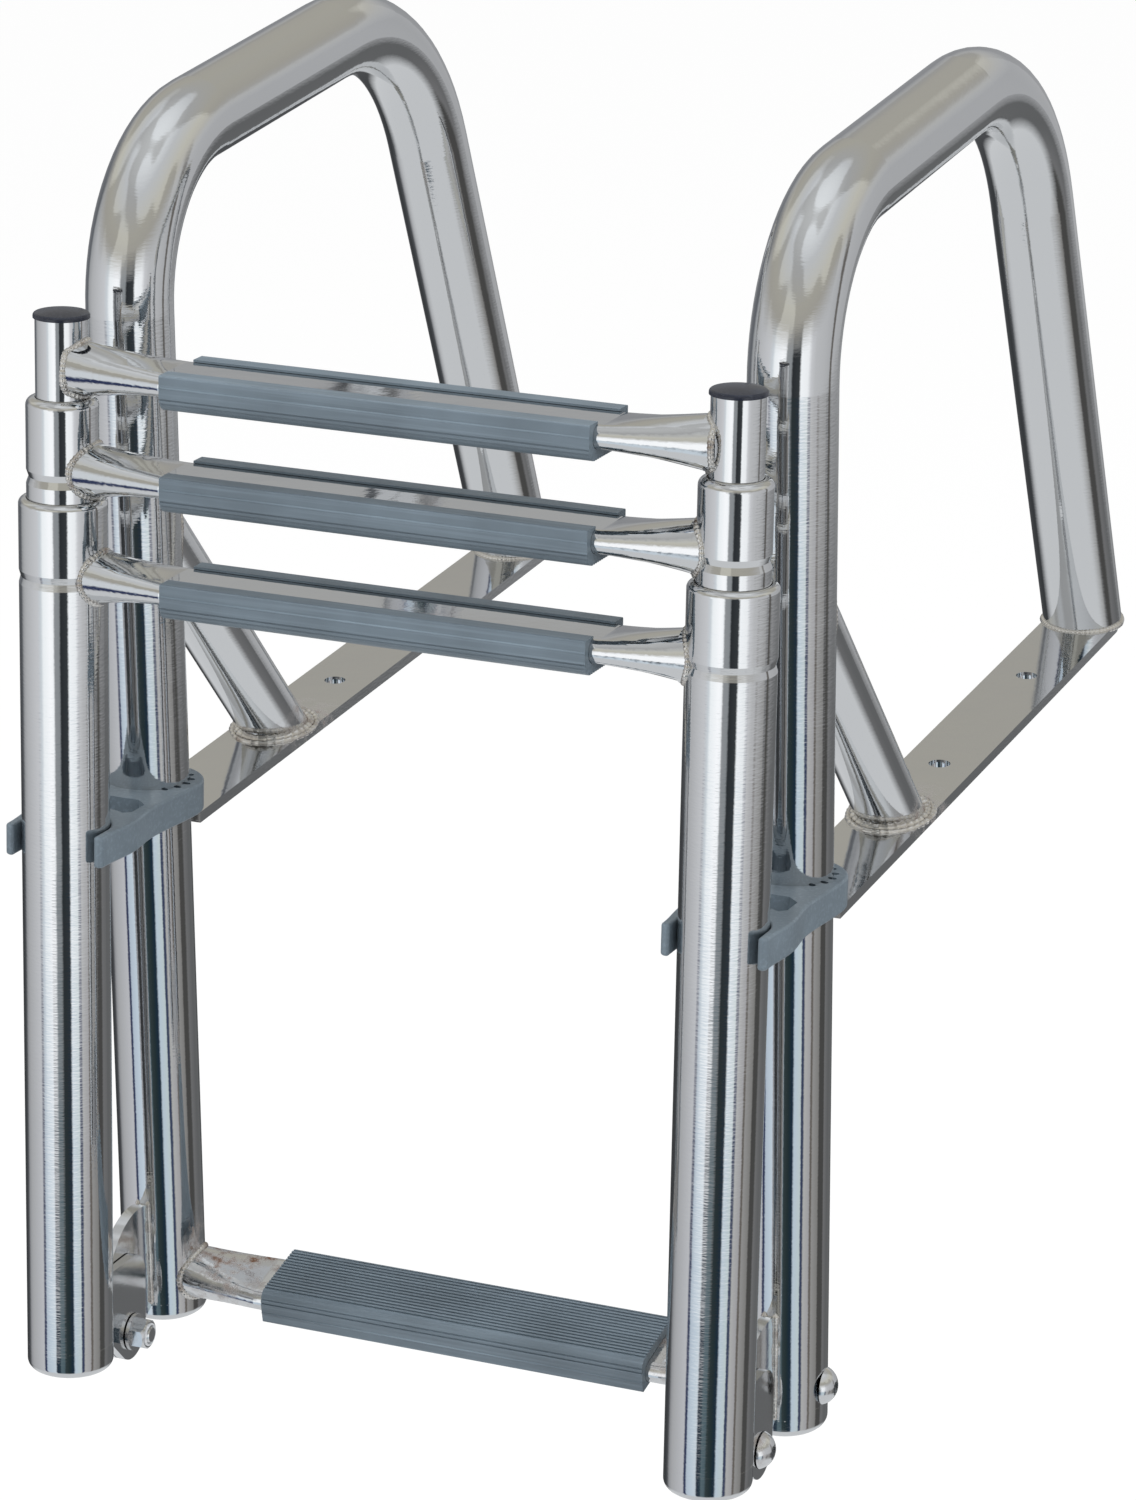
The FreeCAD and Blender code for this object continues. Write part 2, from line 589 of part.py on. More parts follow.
# Rungs: round tubes with a flattened middle, coped to the tubes that carry them.
def rung_section(body, name, at, half_wide, half_thick, flat):
    """A section of four edges: a stadium when flat, and a round tube otherwise."""
    sketch = new_sketch(body, name, "YZ_Plane", at)
    if flat:
        shoulder = "(%s - %s)" % (half_wide, half_thick)
        outline(sketch, [
            ("(0 - %s)" % shoulder, "(0 - %s)" % half_thick),
            (shoulder, "(0 - %s)" % half_thick, half_thick, 1),
            (shoulder, half_thick),
            ("(0 - %s)" % shoulder, half_thick, half_thick, 1),
        ])
    else:
        out = "(%s * cos(<rung_seam>))" % half_wide
        up = "(%s * sin(<rung_seam>))" % half_wide
        outline(sketch, [
            ("(0 - %s)" % out, "(0 - %s)" % up, half_wide, 1),
            (out, "(0 - %s)" % up, half_wide, 1),
            (out, up, half_wide, 1),
            ("(0 - %s)" % out, up, half_wide, 1),
        ])
    return sketch


def rung(label, tube_radius, open_end, tip="0"):
    """A rung between the two tube axes; an open end is closed again by a welded disc at the tube.

    The cope is drawn turned back by tip, so that it fits upright tubes once the rung is placed tipped.
    """
    body = new_body(label)
    start = "(%s * <rung_bite>)" % tube_radius
    end = "(<tube_spacing> - %s)" % start
    flat_start = "<rung_taper>"
    flat_end = "(<tube_spacing> - <rung_taper>)"
    for kind, wall in (("skin", "0"), ("bore", "<rung_wall>")):
        round_half = "(<rung_dia> / 2 - %s)" % wall
        wide_half = "(<rung_wide> / 2 - %s)" % wall
        thick_half = "(<rung_flat> / 2 - %s)" % wall
        sections = [
            rung_section(body, "%s_%s_b" % (label, kind), flat_start, wide_half, thick_half, True),
            rung_section(body, "%s_%s_c" % (label, kind), flat_end, wide_half, thick_half, True),
        ]
        if kind == "skin" or open_end:
            sections.insert(0, rung_section(
                body, "%s_%s_a" % (label, kind), start, round_half, round_half, False))
            sections.append(rung_section(
                body, "%s_%s_d" % (label, kind), end, round_half, round_half, False))
        kind_name = "PartDesign::AdditiveLoft" if kind == "skin" else "PartDesign::SubtractiveLoft"
        loft = body.newObject(kind_name, "%s_%s" % (label, kind))
        loft.Profile = sections[0]
        loft.Sections = sections[1:]
        loft.Ruled = True
        doc.recompute()
    if open_end:
        for name, at, away in (("near", start, False), ("far", end, True)):
            disc = new_sketch(body, "%s_%s_disc" % (label, name), "YZ_Plane", at)
            ring(disc, "0", "0", "(<rung_dia> / 2 - <rung_wall> / 2)")
            pad(body, disc, "(%s + <rung_wall> - %s)" % (tube_radius, start), "%s_%s_end" % (label, name), back=away)
    seat = new_sketch(body, label + "_seat", "XY_Plane")
    seat.AttachmentOffset = FreeCAD.Placement(V(0, 0, 0), FreeCAD.Rotation(V(-1, 0, 0), number(tip)))
    bind(seat, AttachmentOffset__Rotation__Angle=tip)
    ring(seat, "0", "0", tube_radius, "near")
    ring(seat, "<tube_spacing>", "0", tube_radius, "far")
    through(body, seat, label + "_cope")
    return body


def tread(label, facing, inset):
    """A moulded tread snapped round the flat of a rung; facing is -1 when it lies below the rung."""
    body = new_body(label)
    sketch = new_sketch(body, label + "_profile", "YZ_Plane", inset)
    length = "(<tube_spacing> - 2 * %s)" % inset
    half = "(<tread_wide> / 2)"
    flat = "(<rung_flat> / 2 + <tread_play>)"
    shoulder = "(<rung_wide> / 2 - <rung_flat> / 2)"
    s = "(%d)" % facing
    deck = "(%s * (%s + <tread_deck>))" % (s, flat)
    deck_in = "(%s * (%s + <tread_deck> - <tread_round>))" % (s, flat)
    lip = "(0 - %s * (%s + <tread_lip>))" % (s, flat)
    lip_in = "(0 - %s * (%s + <tread_lip> - <lip_round>))" % (s, flat)
    face = "(%s * %s)" % (s, flat)
    back_face = "(0 - %s * %s)" % (s, flat)
    turn = facing
    outline(sketch, [
        ("(%s - <tread_round>)" % half, deck),
        ("(<tread_round> - %s)" % half, deck, "<tread_round>", turn),
        ("(0 - %s)" % half, deck_in),
        ("(0 - %s)" % half, lip_in, "<lip_round>", turn),
        ("(<lip_round> - %s)" % half, lip),
        ("(0 - %s)" % shoulder, lip),
        ("(0 - %s)" % shoulder, back_face, flat, -turn),
        ("(0 - %s)" % shoulder, face),
        (shoulder, face, flat, -turn),
        (shoulder, back_face),
        (shoulder, lip),
        ("(%s - <lip_round>)" % half, lip, "<lip_round>", turn),
        (half, lip_in),
        (half, deck_in, "<tread_round>", turn),
    ])
    pad(body, sketch, length, label + "_moulding")
    lines = new_sketch(body, label + "_edge_lines", "YZ_Plane", inset)
    for index in range(2):
        low = "(<edge_line_first> + %d * <edge_line_pitch>)" % index
        sag = "(<tread_round> - sqrt(<tread_round> * <tread_round> - %s * %s))" % (low, low)
        for way in (-1, 1):
            bed = "((%d) * (%s - %s - <edge_line_deep>))" % (way, half, sag)
            rim = "((%d) * (%s + <edge_line_deep>))" % (way, half)
            near = "(%s + %s * %s)" % (deck_in, s, low)
            far = "(%s + %s * (%s + <edge_line_wide>))" % (deck_in, s, low)
            outline(lines, [(bed, near), (rim, near), (rim, far), (bed, far)], "e%d%s" % (index, "ab"[way > 0]))
    groove_out(body, lines, length, label + "_edge_cut")
    first = "((<rib_count> - 1) * <rib_pitch> / 2)"
    groove = new_sketch(body, label + "_groove", "YZ_Plane", inset)
    outline(groove, [
        ("(0 - %s - <rib_wide> / 2)" % first, deck),
        ("(0 - %s + <rib_wide> / 2)" % first, deck),
        ("(0 - %s + <rib_wide> / 2)" % first, "(%s - %s * <rib_deep>)" % (deck, s)),
        ("(0 - %s - <rib_wide> / 2)" % first, "(%s - %s * <rib_deep>)" % (deck, s)),
    ])
    cut = groove_out(body, groove, length, label + "_groove_cut")
    doc.recompute()
    pattern = body.newObject("PartDesign::LinearPattern", label + "_grooves")
    pattern.Originals = [cut]
    pattern.Direction = (origin_plane(body, "Y_Axis"), [""])
    pattern.Length = number("((<rib_count> - 1) * <rib_pitch>)")
    bind(pattern, Length="((<rib_count> - 1) * <rib_pitch>)")
    pattern.Occurrences = int(number("<rib_count>"))
    bind(pattern, Occurrences="<rib_count>")
    body.Tip = pattern
    return body


step = rung("fixed_step", "(<rail_dia> / 2)", False, "<step_tilt>")
socket = new_sketch(step, "fixed_step_socket", "YZ_Plane")
ring(socket, "0", "0", "(<pin_dia> / 2)")
groove_out(step, socket, "(<rail_dia> / 2 + <step_bolt_bite>)", "fixed_step_near_socket")
far_mouth = new_sketch(step, "fixed_step_far_mouth", "YZ_Plane", "<tube_spacing>")
ring(far_mouth, "0", "0", "(<pin_dia> / 2)")
groove_out(step, far_mouth, "(<rail_dia> / 2 + <step_bolt_bite>)", "fixed_step_far_socket", back=False)
place(step, "0", "0", "(0 - <step_drop>)", V(1, 0, 0), "<step_tilt>")
keep(step, "fixed_step")
step_tread = tread("fixed_step_tread", 1, "<step_inset>")
place(step_tread, "0", "0", "(0 - <step_drop>)", V(1, 0, 0), "<step_tilt>")
keep(step_tread, "fixed_step_tread")

MID_RIM = "(<outer_rim> + <rim_step>)"
RUNGS = (
    ("rung_3", "(<outer_dia> / 2)", "(<outer_rim> - <rung_groove>)"),
    ("rung_2", "(<mid_dia> / 2)", "(<outer_rim> + <rung_rest>)"),
    ("rung_1", "(<inner_dia> / 2)", "(%s + <rung_rest>)" % MID_RIM),
)
for label, radius, level in RUNGS:
    back = "(%s + %s * sin(<ladder_lean>))" % (LADDER_BACK, level)
    up = "(%s + %s * cos(<ladder_lean>))" % (LADDER_UP, level)
    bar = rung(label, radius, True)
    place(bar, "0", back, up, V(-1, 0, 0), "<ladder_lean>")
    keep(bar, label)
    cover = tread(label + "_tread", -1, "<tread_inset>")
    place(cover, "0", back, up, V(-1, 0, 0), "<ladder_lean>")
    keep(cover, label + "_tread")


# Telescoping tubes: each rim is spun in over a guide bush that a rolled groove holds.
def rim_round(radius, rod_radius):
    """Corner radius that spins a rim in to the tube that slides in it."""
    return "(%s - %s - <slide_play> - <rim_land>)" % (radius, rod_radius)


def groove_deep(radius, rod_radius):
    """Depth of the rolled groove that grips a guide bush."""
    return "((%s - <tube_wall> - %s - <slide_play>) * <groove_share>)" % (radius, rod_radius)


def collar_profile(radius, wall, rim, rod_radius):
    """The outer tube wall near its rim, from below the groove up over the rim and back down inside."""
    groove = "(%s - <groove_below>)" % rim
    inner = "(%s - %s)" % (radius, wall)
    throat = "(%s + <slide_play>)" % rod_radius
    corner = rim_round(radius, rod_radius)
    deep = groove_deep(radius, rod_radius)
    return [
        (radius, "(%s - <groove_half>)" % groove),
        ("(%s - %s)" % (radius, deep), groove),
        (radius, "(%s + <groove_half>)" % groove),
        (radius, "(%s - %s)" % (rim, corner), corner, 1),
        ("(%s - %s)" % (radius, corner), rim),
        (throat, rim),
        (throat, "(%s - %s)" % (rim, wall)),
        ("(%s - %s)" % (radius, corner), "(%s - %s)" % (rim, wall), "(%s - %s)" % (corner, wall), -1),
        (inner, "(%s - %s)" % (rim, corner)),
        (inner, "(%s + <groove_half>)" % groove),
        ("(%s - %s)" % (inner, deep), groove),
        (inner, "(%s - <groove_half>)" % groove),
    ]


MID_FOOT = "(<outer_foot> + <tube_wall> + <foot_gap> + <foot_thick>)"
INNER_FOOT = "(%s + <foot_gap> + <foot_thick> + <foot_stem>)" % MID_FOOT
for side, across in SIDES:
    outer = new_body(side + "_outer_tube")
    closed_end(outer, side + "_outer_end", "(<outer_dia> / 2)", "<tube_wall>", "<outer_foot>")
    wall_plan = new_sketch(outer, side + "_outer_wall", "XZ_Plane")
    radius = "(<outer_dia> / 2)"
    outline(wall_plan, [
        ("(%s - <tube_wall>)" % radius, "(<outer_foot> + <end_round>)"),
        (radius, "(<outer_foot> + <end_round>)"),
    ] + collar_profile(radius, "<tube_wall>", "<outer_rim>", "(<mid_dia> / 2)"))
    revolve(outer, wall_plan, side + "_outer_turned")
    place_on_ladder(outer, across)
    keep(outer, side + "_outer_tube")

    middle = new_body(side + "_mid_tube")
    wall_plan = new_sketch(middle, side + "_mid_wall", "XZ_Plane")
    radius = "(<mid_dia> / 2)"
    outline(wall_plan, [
        ("(%s - <tube_wall>)" % radius, MID_FOOT),
        (radius, MID_FOOT),
    ] + collar_profile(radius, "<tube_wall>", MID_RIM, "(<inner_dia> / 2)"))
    revolve(middle, wall_plan, side + "_mid_turned")
    place_on_ladder(middle, across)
    keep(middle, side + "_mid_tube")

    inner = new_body(side + "_inner_tube")
    wall_plan = new_sketch(inner, side + "_inner_wall", "XZ_Plane")
    radius = "(<inner_dia> / 2)"
    top = "(%s + <cap_stand>)" % MID_RIM
    outline(wall_plan, [
        ("(%s - <tube_wall>)" % radius, INNER_FOOT),
        (radius, INNER_FOOT),
        (radius, top),
        ("(%s - <tube_wall>)" % radius, top),
    ])
    revolve(inner, wall_plan, side + "_inner_turned")
    place_on_ladder(inner, across)
    keep(inner, side + "_inner_tube")

    for name, tube_dia, rod_dia, rim in (
            ("_outer_bush", "<outer_dia>", "<mid_dia>", "<outer_rim>"),
            ("_mid_bush", "<mid_dia>", "<inner_dia>", MID_RIM)):
        bush = new_body(side + name)
        plan = new_sketch(bush, side + name + "_wall", "XZ_Plane")
        seat = "(%s / 2 - <tube_wall>)" % tube_dia
        bore = "(%s / 2 + <slide_play>)" % rod_dia
        tube_radius = "(%s / 2)" % tube_dia
        rod_radius = "(%s / 2)" % rod_dia
        head = "(%s - %s)" % (rim, rim_round(tube_radius, rod_radius))
        groove = "(%s - <groove_below>)" % rim
        outline(plan, [
            (bore, "(%s - <bush_long>)" % head),
            (seat, "(%s - <bush_long>)" % head),
            (seat, "(%s - <groove_half>)" % groove),
            ("(%s - %s)" % (seat, groove_deep(tube_radius, rod_radius)), groove),
            (seat, "(%s + <groove_half>)" % groove),
            (seat, head),
            (bore, head),
        ])
        revolve(bush, plan, side + name + "_turned")
        place_on_ladder(bush, across)
        keep(bush, side + name)

    for name, tube_dia, rod_dia, level in (
            ("_mid_foot", "<outer_dia>", "<mid_dia>", MID_FOOT),
            ("_inner_foot", "<mid_dia>", "<inner_dia>", INNER_FOOT)):
        foot = new_body(side + name)
        plan = new_sketch(foot, side + name + "_wall", "XZ_Plane")
        guide = "(%s / 2 - <tube_wall> - <slide_play>)" % tube_dia
        stem = "(%s / 2 - <tube_wall>)" % rod_dia
        outline(plan, [
            ("0", "(%s - <foot_thick>)" % level),
            (guide, "(%s - <foot_thick>)" % level),
            (guide, level),
            (stem, level),
            (stem, "(%s + <foot_stem>)" % level),
            ("0", "(%s + <foot_stem>)" % level),
        ])
        revolve(foot, plan, side + name + "_turned")
        place_on_ladder(foot, across)
        keep(foot, side + name)

    cap = new_body(side + "_cap")
    plan = new_sketch(cap, side + "_cap_profile", "XZ_Plane")
    brim = "(<inner_dia> / 2 + <cap_over>)"
    shoulder = "(%s - <cap_round>)" % brim
    rise = "(<cap_high> - <cap_brim> - <cap_round>)"
    crown = "((%s * %s + %s * %s) / (2 * %s))" % (shoulder, shoulder, rise, rise, rise)
    outline(plan, [
        ("0", "(%s - <cap_stem>)" % top),
        ("(<inner_dia> / 2 - <tube_wall>)", "(%s - <cap_stem>)" % top),
        ("(<inner_dia> / 2 - <tube_wall>)", top),
        (brim, top),
        (brim, "(%s + <cap_brim>)" % top, "<cap_round>", 1),
        (shoulder, "(%s + <cap_brim> + <cap_round>)" % top, crown, 1),
        ("0", "(%s + <cap_high>)" % top),
    ])
    revolve(cap, plan, side + "_cap_turned")
    place_on_ladder(cap, across)
    keep(cap, side + "_cap")

# Clips: a ring on each rail with two arms that hold the outer tube while the ladder is stowed.
for side, across in SIDES:
    body = new_body(side + "_clip_blank")
    plan = new_sketch(body, side + "_clip_plan", "XY_Plane")
    half = "(<rail_dia> / 2 + <clip_wall>)"
    tube_back = "((2 * <pin_reach> - (<pin_drop> + <clip_level>) * tan(<ladder_lean>)) / cos(<clip_tilt>))"
    tip = "(0 - %s - <clip_reach>)" % tube_back
    outline(plan, [
        (half, "0", half, 1),
        ("(0 - %s)" % half, "0"),
        ("(<clip_thin> - %s)" % half, "(%s + <clip_tip_round>)" % tip, "<clip_tip_round>", 1),
        ("(<clip_thin> + <clip_tip_round> - %s)" % half, tip),
        ("(%s - <clip_thin> - <clip_tip_round>)" % half, tip, "<clip_tip_round>", 1),
        ("(%s - <clip_thin>)" % half, "(%s + <clip_tip_round>)" % tip),
    ])
    pad(body, plan, "<clip_high>", side + "_clip_slab", both=True)
    web_mid = "(0 - %s / 2)" % tube_back
    window = new_sketch(body, side + "_clip_window", "XY_Plane")
    outline(window, [
        ("0", "(%s - <clip_window>)" % web_mid),
        ("<clip_window_half>", "(%s - <clip_window_side>)" % web_mid),
        ("<clip_window_half>", "(%s + <clip_window_side>)" % web_mid),
        ("0", "(%s + <clip_window>)" % web_mid),
        ("(0 - <clip_window_half>)", "(%s + <clip_window_side>)" % web_mid),
        ("(0 - <clip_window_half>)", "(%s - <clip_window_side>)" % web_mid),
    ])
    through(body, window, side + "_clip_window_cut")
    place(body, across, "0", "<clip_level>", V(-1, 0, 0), "<clip_tilt>")
    rail_core = doc.addObject("Part::Cylinder", side + "_clip_rail_core")
    bind(rail_core, Radius="(<rail_dia> / 2)", Height="(4 * <rail_dia>)")
    place(rail_core, across, "0", "(<clip_level> - 2 * <rail_dia>)")
    ringed = doc.addObject("Part::Cut", side + "_clip_ringed")
    ringed.Base, ringed.Tool = body, rail_core
    tube_core = doc.addObject("Part::Cylinder", side + "_clip_tube_core")
    bind(tube_core, Radius="(<outer_dia> / 2 + <clip_play>)", Height="(<outer_rim>)")
    place_on_ladder(tube_core, across)
    seated = doc.addObject("Part::Cut", side + "_clip_seated")
    seated.Base, seated.Tool = ringed, tube_core
    mouth = doc.addObject("Part::Box", side + "_clip_mouth")
    bind(mouth, Length="(<outer_dia> + 2 * <clip_play>)", Width="(2 * <outer_dia>)", Height="<outer_rim>")
    place(mouth, "(%s - <outer_dia> / 2 - <clip_play>)" % across,
          "(%s - 2 * <outer_dia> * cos(<ladder_lean>))" % LADDER_BACK,
          "(%s + 2 * <outer_dia> * sin(<ladder_lean>))" % LADDER_UP, V(-1, 0, 0), "<ladder_lean>")
    opened = doc.addObject("Part::Cut", side + "_clip_opened")
    opened.Base, opened.Tool = seated, mouth
    keep(opened, side + "_clip")

doc.recompute()

# Every object has to have computed, and every piece has to be one valid shape.
faults = [item.Name for item in doc.Objects if "Invalid" in item.State or "Error" in item.State]
if faults:
    raise RuntimeError("failed objects: %s" % ", ".join(faults))
os.makedirs("parts", exist_ok=True)
for label, piece in PIECES:
    shape = piece.Shape
    if shape.isNull() or not shape.isValid() or not shape.Solids:
        raise RuntimeError("bad shape: " + label)
    shape.exportStep("parts/%s.step" % label)
    print(label, len(shape.Solids), round(shape.Volume, 1))
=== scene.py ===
"""Looks of the folding swim ladder.

Polished steel and moulded plastic for every CAD piece; the welds, tube ends, bolts, clips, nut inserts and
mould lines that the solids leave plain; and a studio with a floor, a room that the metal mirrors, lamps and a
camera.
"""

import json
import math

import bpy
import numpy as np
from mathutils import Matrix, Vector
from mathutils.geometry import tessellate_polygon


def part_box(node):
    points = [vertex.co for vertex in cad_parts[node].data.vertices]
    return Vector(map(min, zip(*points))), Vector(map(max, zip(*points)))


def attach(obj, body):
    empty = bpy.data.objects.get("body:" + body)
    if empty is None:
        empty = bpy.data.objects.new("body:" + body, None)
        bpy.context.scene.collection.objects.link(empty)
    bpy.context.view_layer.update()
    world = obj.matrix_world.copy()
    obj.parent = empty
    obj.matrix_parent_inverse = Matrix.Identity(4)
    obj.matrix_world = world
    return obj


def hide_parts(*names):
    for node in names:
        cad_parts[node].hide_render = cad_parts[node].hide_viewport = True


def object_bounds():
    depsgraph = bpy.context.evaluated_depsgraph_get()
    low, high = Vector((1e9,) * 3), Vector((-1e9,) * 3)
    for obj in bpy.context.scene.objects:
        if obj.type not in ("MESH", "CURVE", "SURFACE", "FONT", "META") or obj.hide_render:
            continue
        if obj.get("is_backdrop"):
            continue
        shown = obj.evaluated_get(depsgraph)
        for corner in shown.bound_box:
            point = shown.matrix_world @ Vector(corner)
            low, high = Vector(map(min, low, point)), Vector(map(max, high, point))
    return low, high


bl_info = {
    "name": "Folding swim ladder",
    "version": (1, 0, 0),
    "blender": (4, 5, 0),
    "location": "View3D > Sidebar > Ladder",
    "description": "Dresses the packed folding swim ladder in polished steel and moulded plastic",
    "category": "Object",
}

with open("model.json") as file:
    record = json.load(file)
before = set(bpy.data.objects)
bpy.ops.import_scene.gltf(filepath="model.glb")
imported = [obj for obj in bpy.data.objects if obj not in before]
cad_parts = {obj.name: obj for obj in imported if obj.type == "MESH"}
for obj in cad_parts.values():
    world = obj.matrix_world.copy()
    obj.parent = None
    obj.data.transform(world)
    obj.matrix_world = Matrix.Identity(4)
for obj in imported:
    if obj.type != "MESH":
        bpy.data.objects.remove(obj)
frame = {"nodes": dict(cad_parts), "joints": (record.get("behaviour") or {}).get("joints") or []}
MM = 0.001
IMAGE_HIGH = 1500

# Each side, with the way along X that leads from it to the middle
SIDES = {"left": 1, "right": -1}

# Each rung, with the tube that carries it and the body of both
RUNG_BODIES = {"rung_1": ("inner_tube", "inner_section"), "rung_2": ("mid_tube", "mid_section"),
               "rung_3": ("outer_tube", "outer_section")}

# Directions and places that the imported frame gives
JOINTS = {joint["name"]: joint for joint in frame["joints"]}
PIN = np.array(JOINTS["ladder_hinge"]["pos_m"], dtype=float)
LADDER_UP = np.array(JOINTS["mid_slide"]["axis"], dtype=float)
LADDER_BACK = np.array((0.0, LADDER_UP[2], -LADDER_UP[1]))
ACROSS = np.array((1.0, 0.0, 0.0))
BACK = np.array((0.0, 1.0, 0.0))
UP = np.array((0.0, 0.0, 1.0))


def node_box(name):
    """A CAD node's two box corners as arrays."""
    return tuple(np.array(corner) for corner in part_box(name))


def middle(name):
    """The middle of a CAD node's box."""
    low, high = node_box(name)
    return (low + high) / 2


def half_wide(name):
    """Half of a CAD node's width: for an upright tube its radius."""
    low, high = node_box(name)
    return (high[0] - low[0]) / 2


def rail_axis(side):
    """The foot of a rail's axis at the height of the foot bars' underside."""
    low, high = node_box(side + "_rail")
    return np.array(((low[0] + high[0]) / 2, low[1] + half_wide(side + "_rail"), 0.0))


def ladder_foot(sizes, side):
    """Where an outer tube's axis passes the hinge pin."""
    foot = PIN - sizes.pin_reach * LADDER_BACK
    foot[0] = middle(side + "_outer_tube")[0]
    return foot


def reach_along(name, way, start=0.0):
    """How far a CAD node's points lie from a start along a direction: the least and the most."""
    mesh = frame["nodes"][name].data
    points = np.empty(3 * len(mesh.vertices), dtype=np.float32)
    mesh.vertices.foreach_get("co", points)
    reach = (points.reshape(-1, 3) - start) @ way
    return float(reach.min()), float(reach.max())


# Sizes and colours

def linear(hex_colour):
    """An sRGB hex colour as linear red, green and blue."""
    parts = [int(hex_colour[i:i + 2], 16) / 255 for i in (1, 3, 5)]
    return tuple(c / 12.92 if c <= 0.04045 else ((c + 0.055) / 1.055) ** 2.4 for c in parts)


def colour_prop(name, hex_colour, description):
    return bpy.props.FloatVectorProperty(
        name=name, description=description, default=linear(hex_colour),
        subtype="COLOR", size=3, min=0, max=1)


def length_prop(name, millimetres, description):
    return bpy.props.FloatProperty(
        name=name, description=description, default=millimetres * MM, unit="LENGTH", min=0)


def angle_prop(name, degrees, description):
    return bpy.props.FloatProperty(
        name=name, description=description, default=math.radians(degrees), unit="ROTATION")


class LADDER_PG_finish(bpy.types.PropertyGroup):
    """Colours of the ladder's materials."""
    steel: colour_prop("Steel", "#dcddde", "Polished stainless steel")
    weld: colour_prop("Weld", "#e2dfda", "Stainless weld bead, brushed bright")
    stain: colour_prop("Stain", "#6b4a33", "Heat tint and rust beside the welds")
    tread: colour_prop("Tread", "#626f79", "Moulded tread plastic")
    clip: colour_prop("Clip", "#66737d", "Moulded clip plastic")
    cap: colour_prop("Cap", "#1d212d", "Tube cap plastic")
    nylon: colour_prop("Nylon", "#17181a", "Guide bushes and feet")
    insert: colour_prop("Insert", "#c9ccd0", "Locking ring of the hinge nuts")


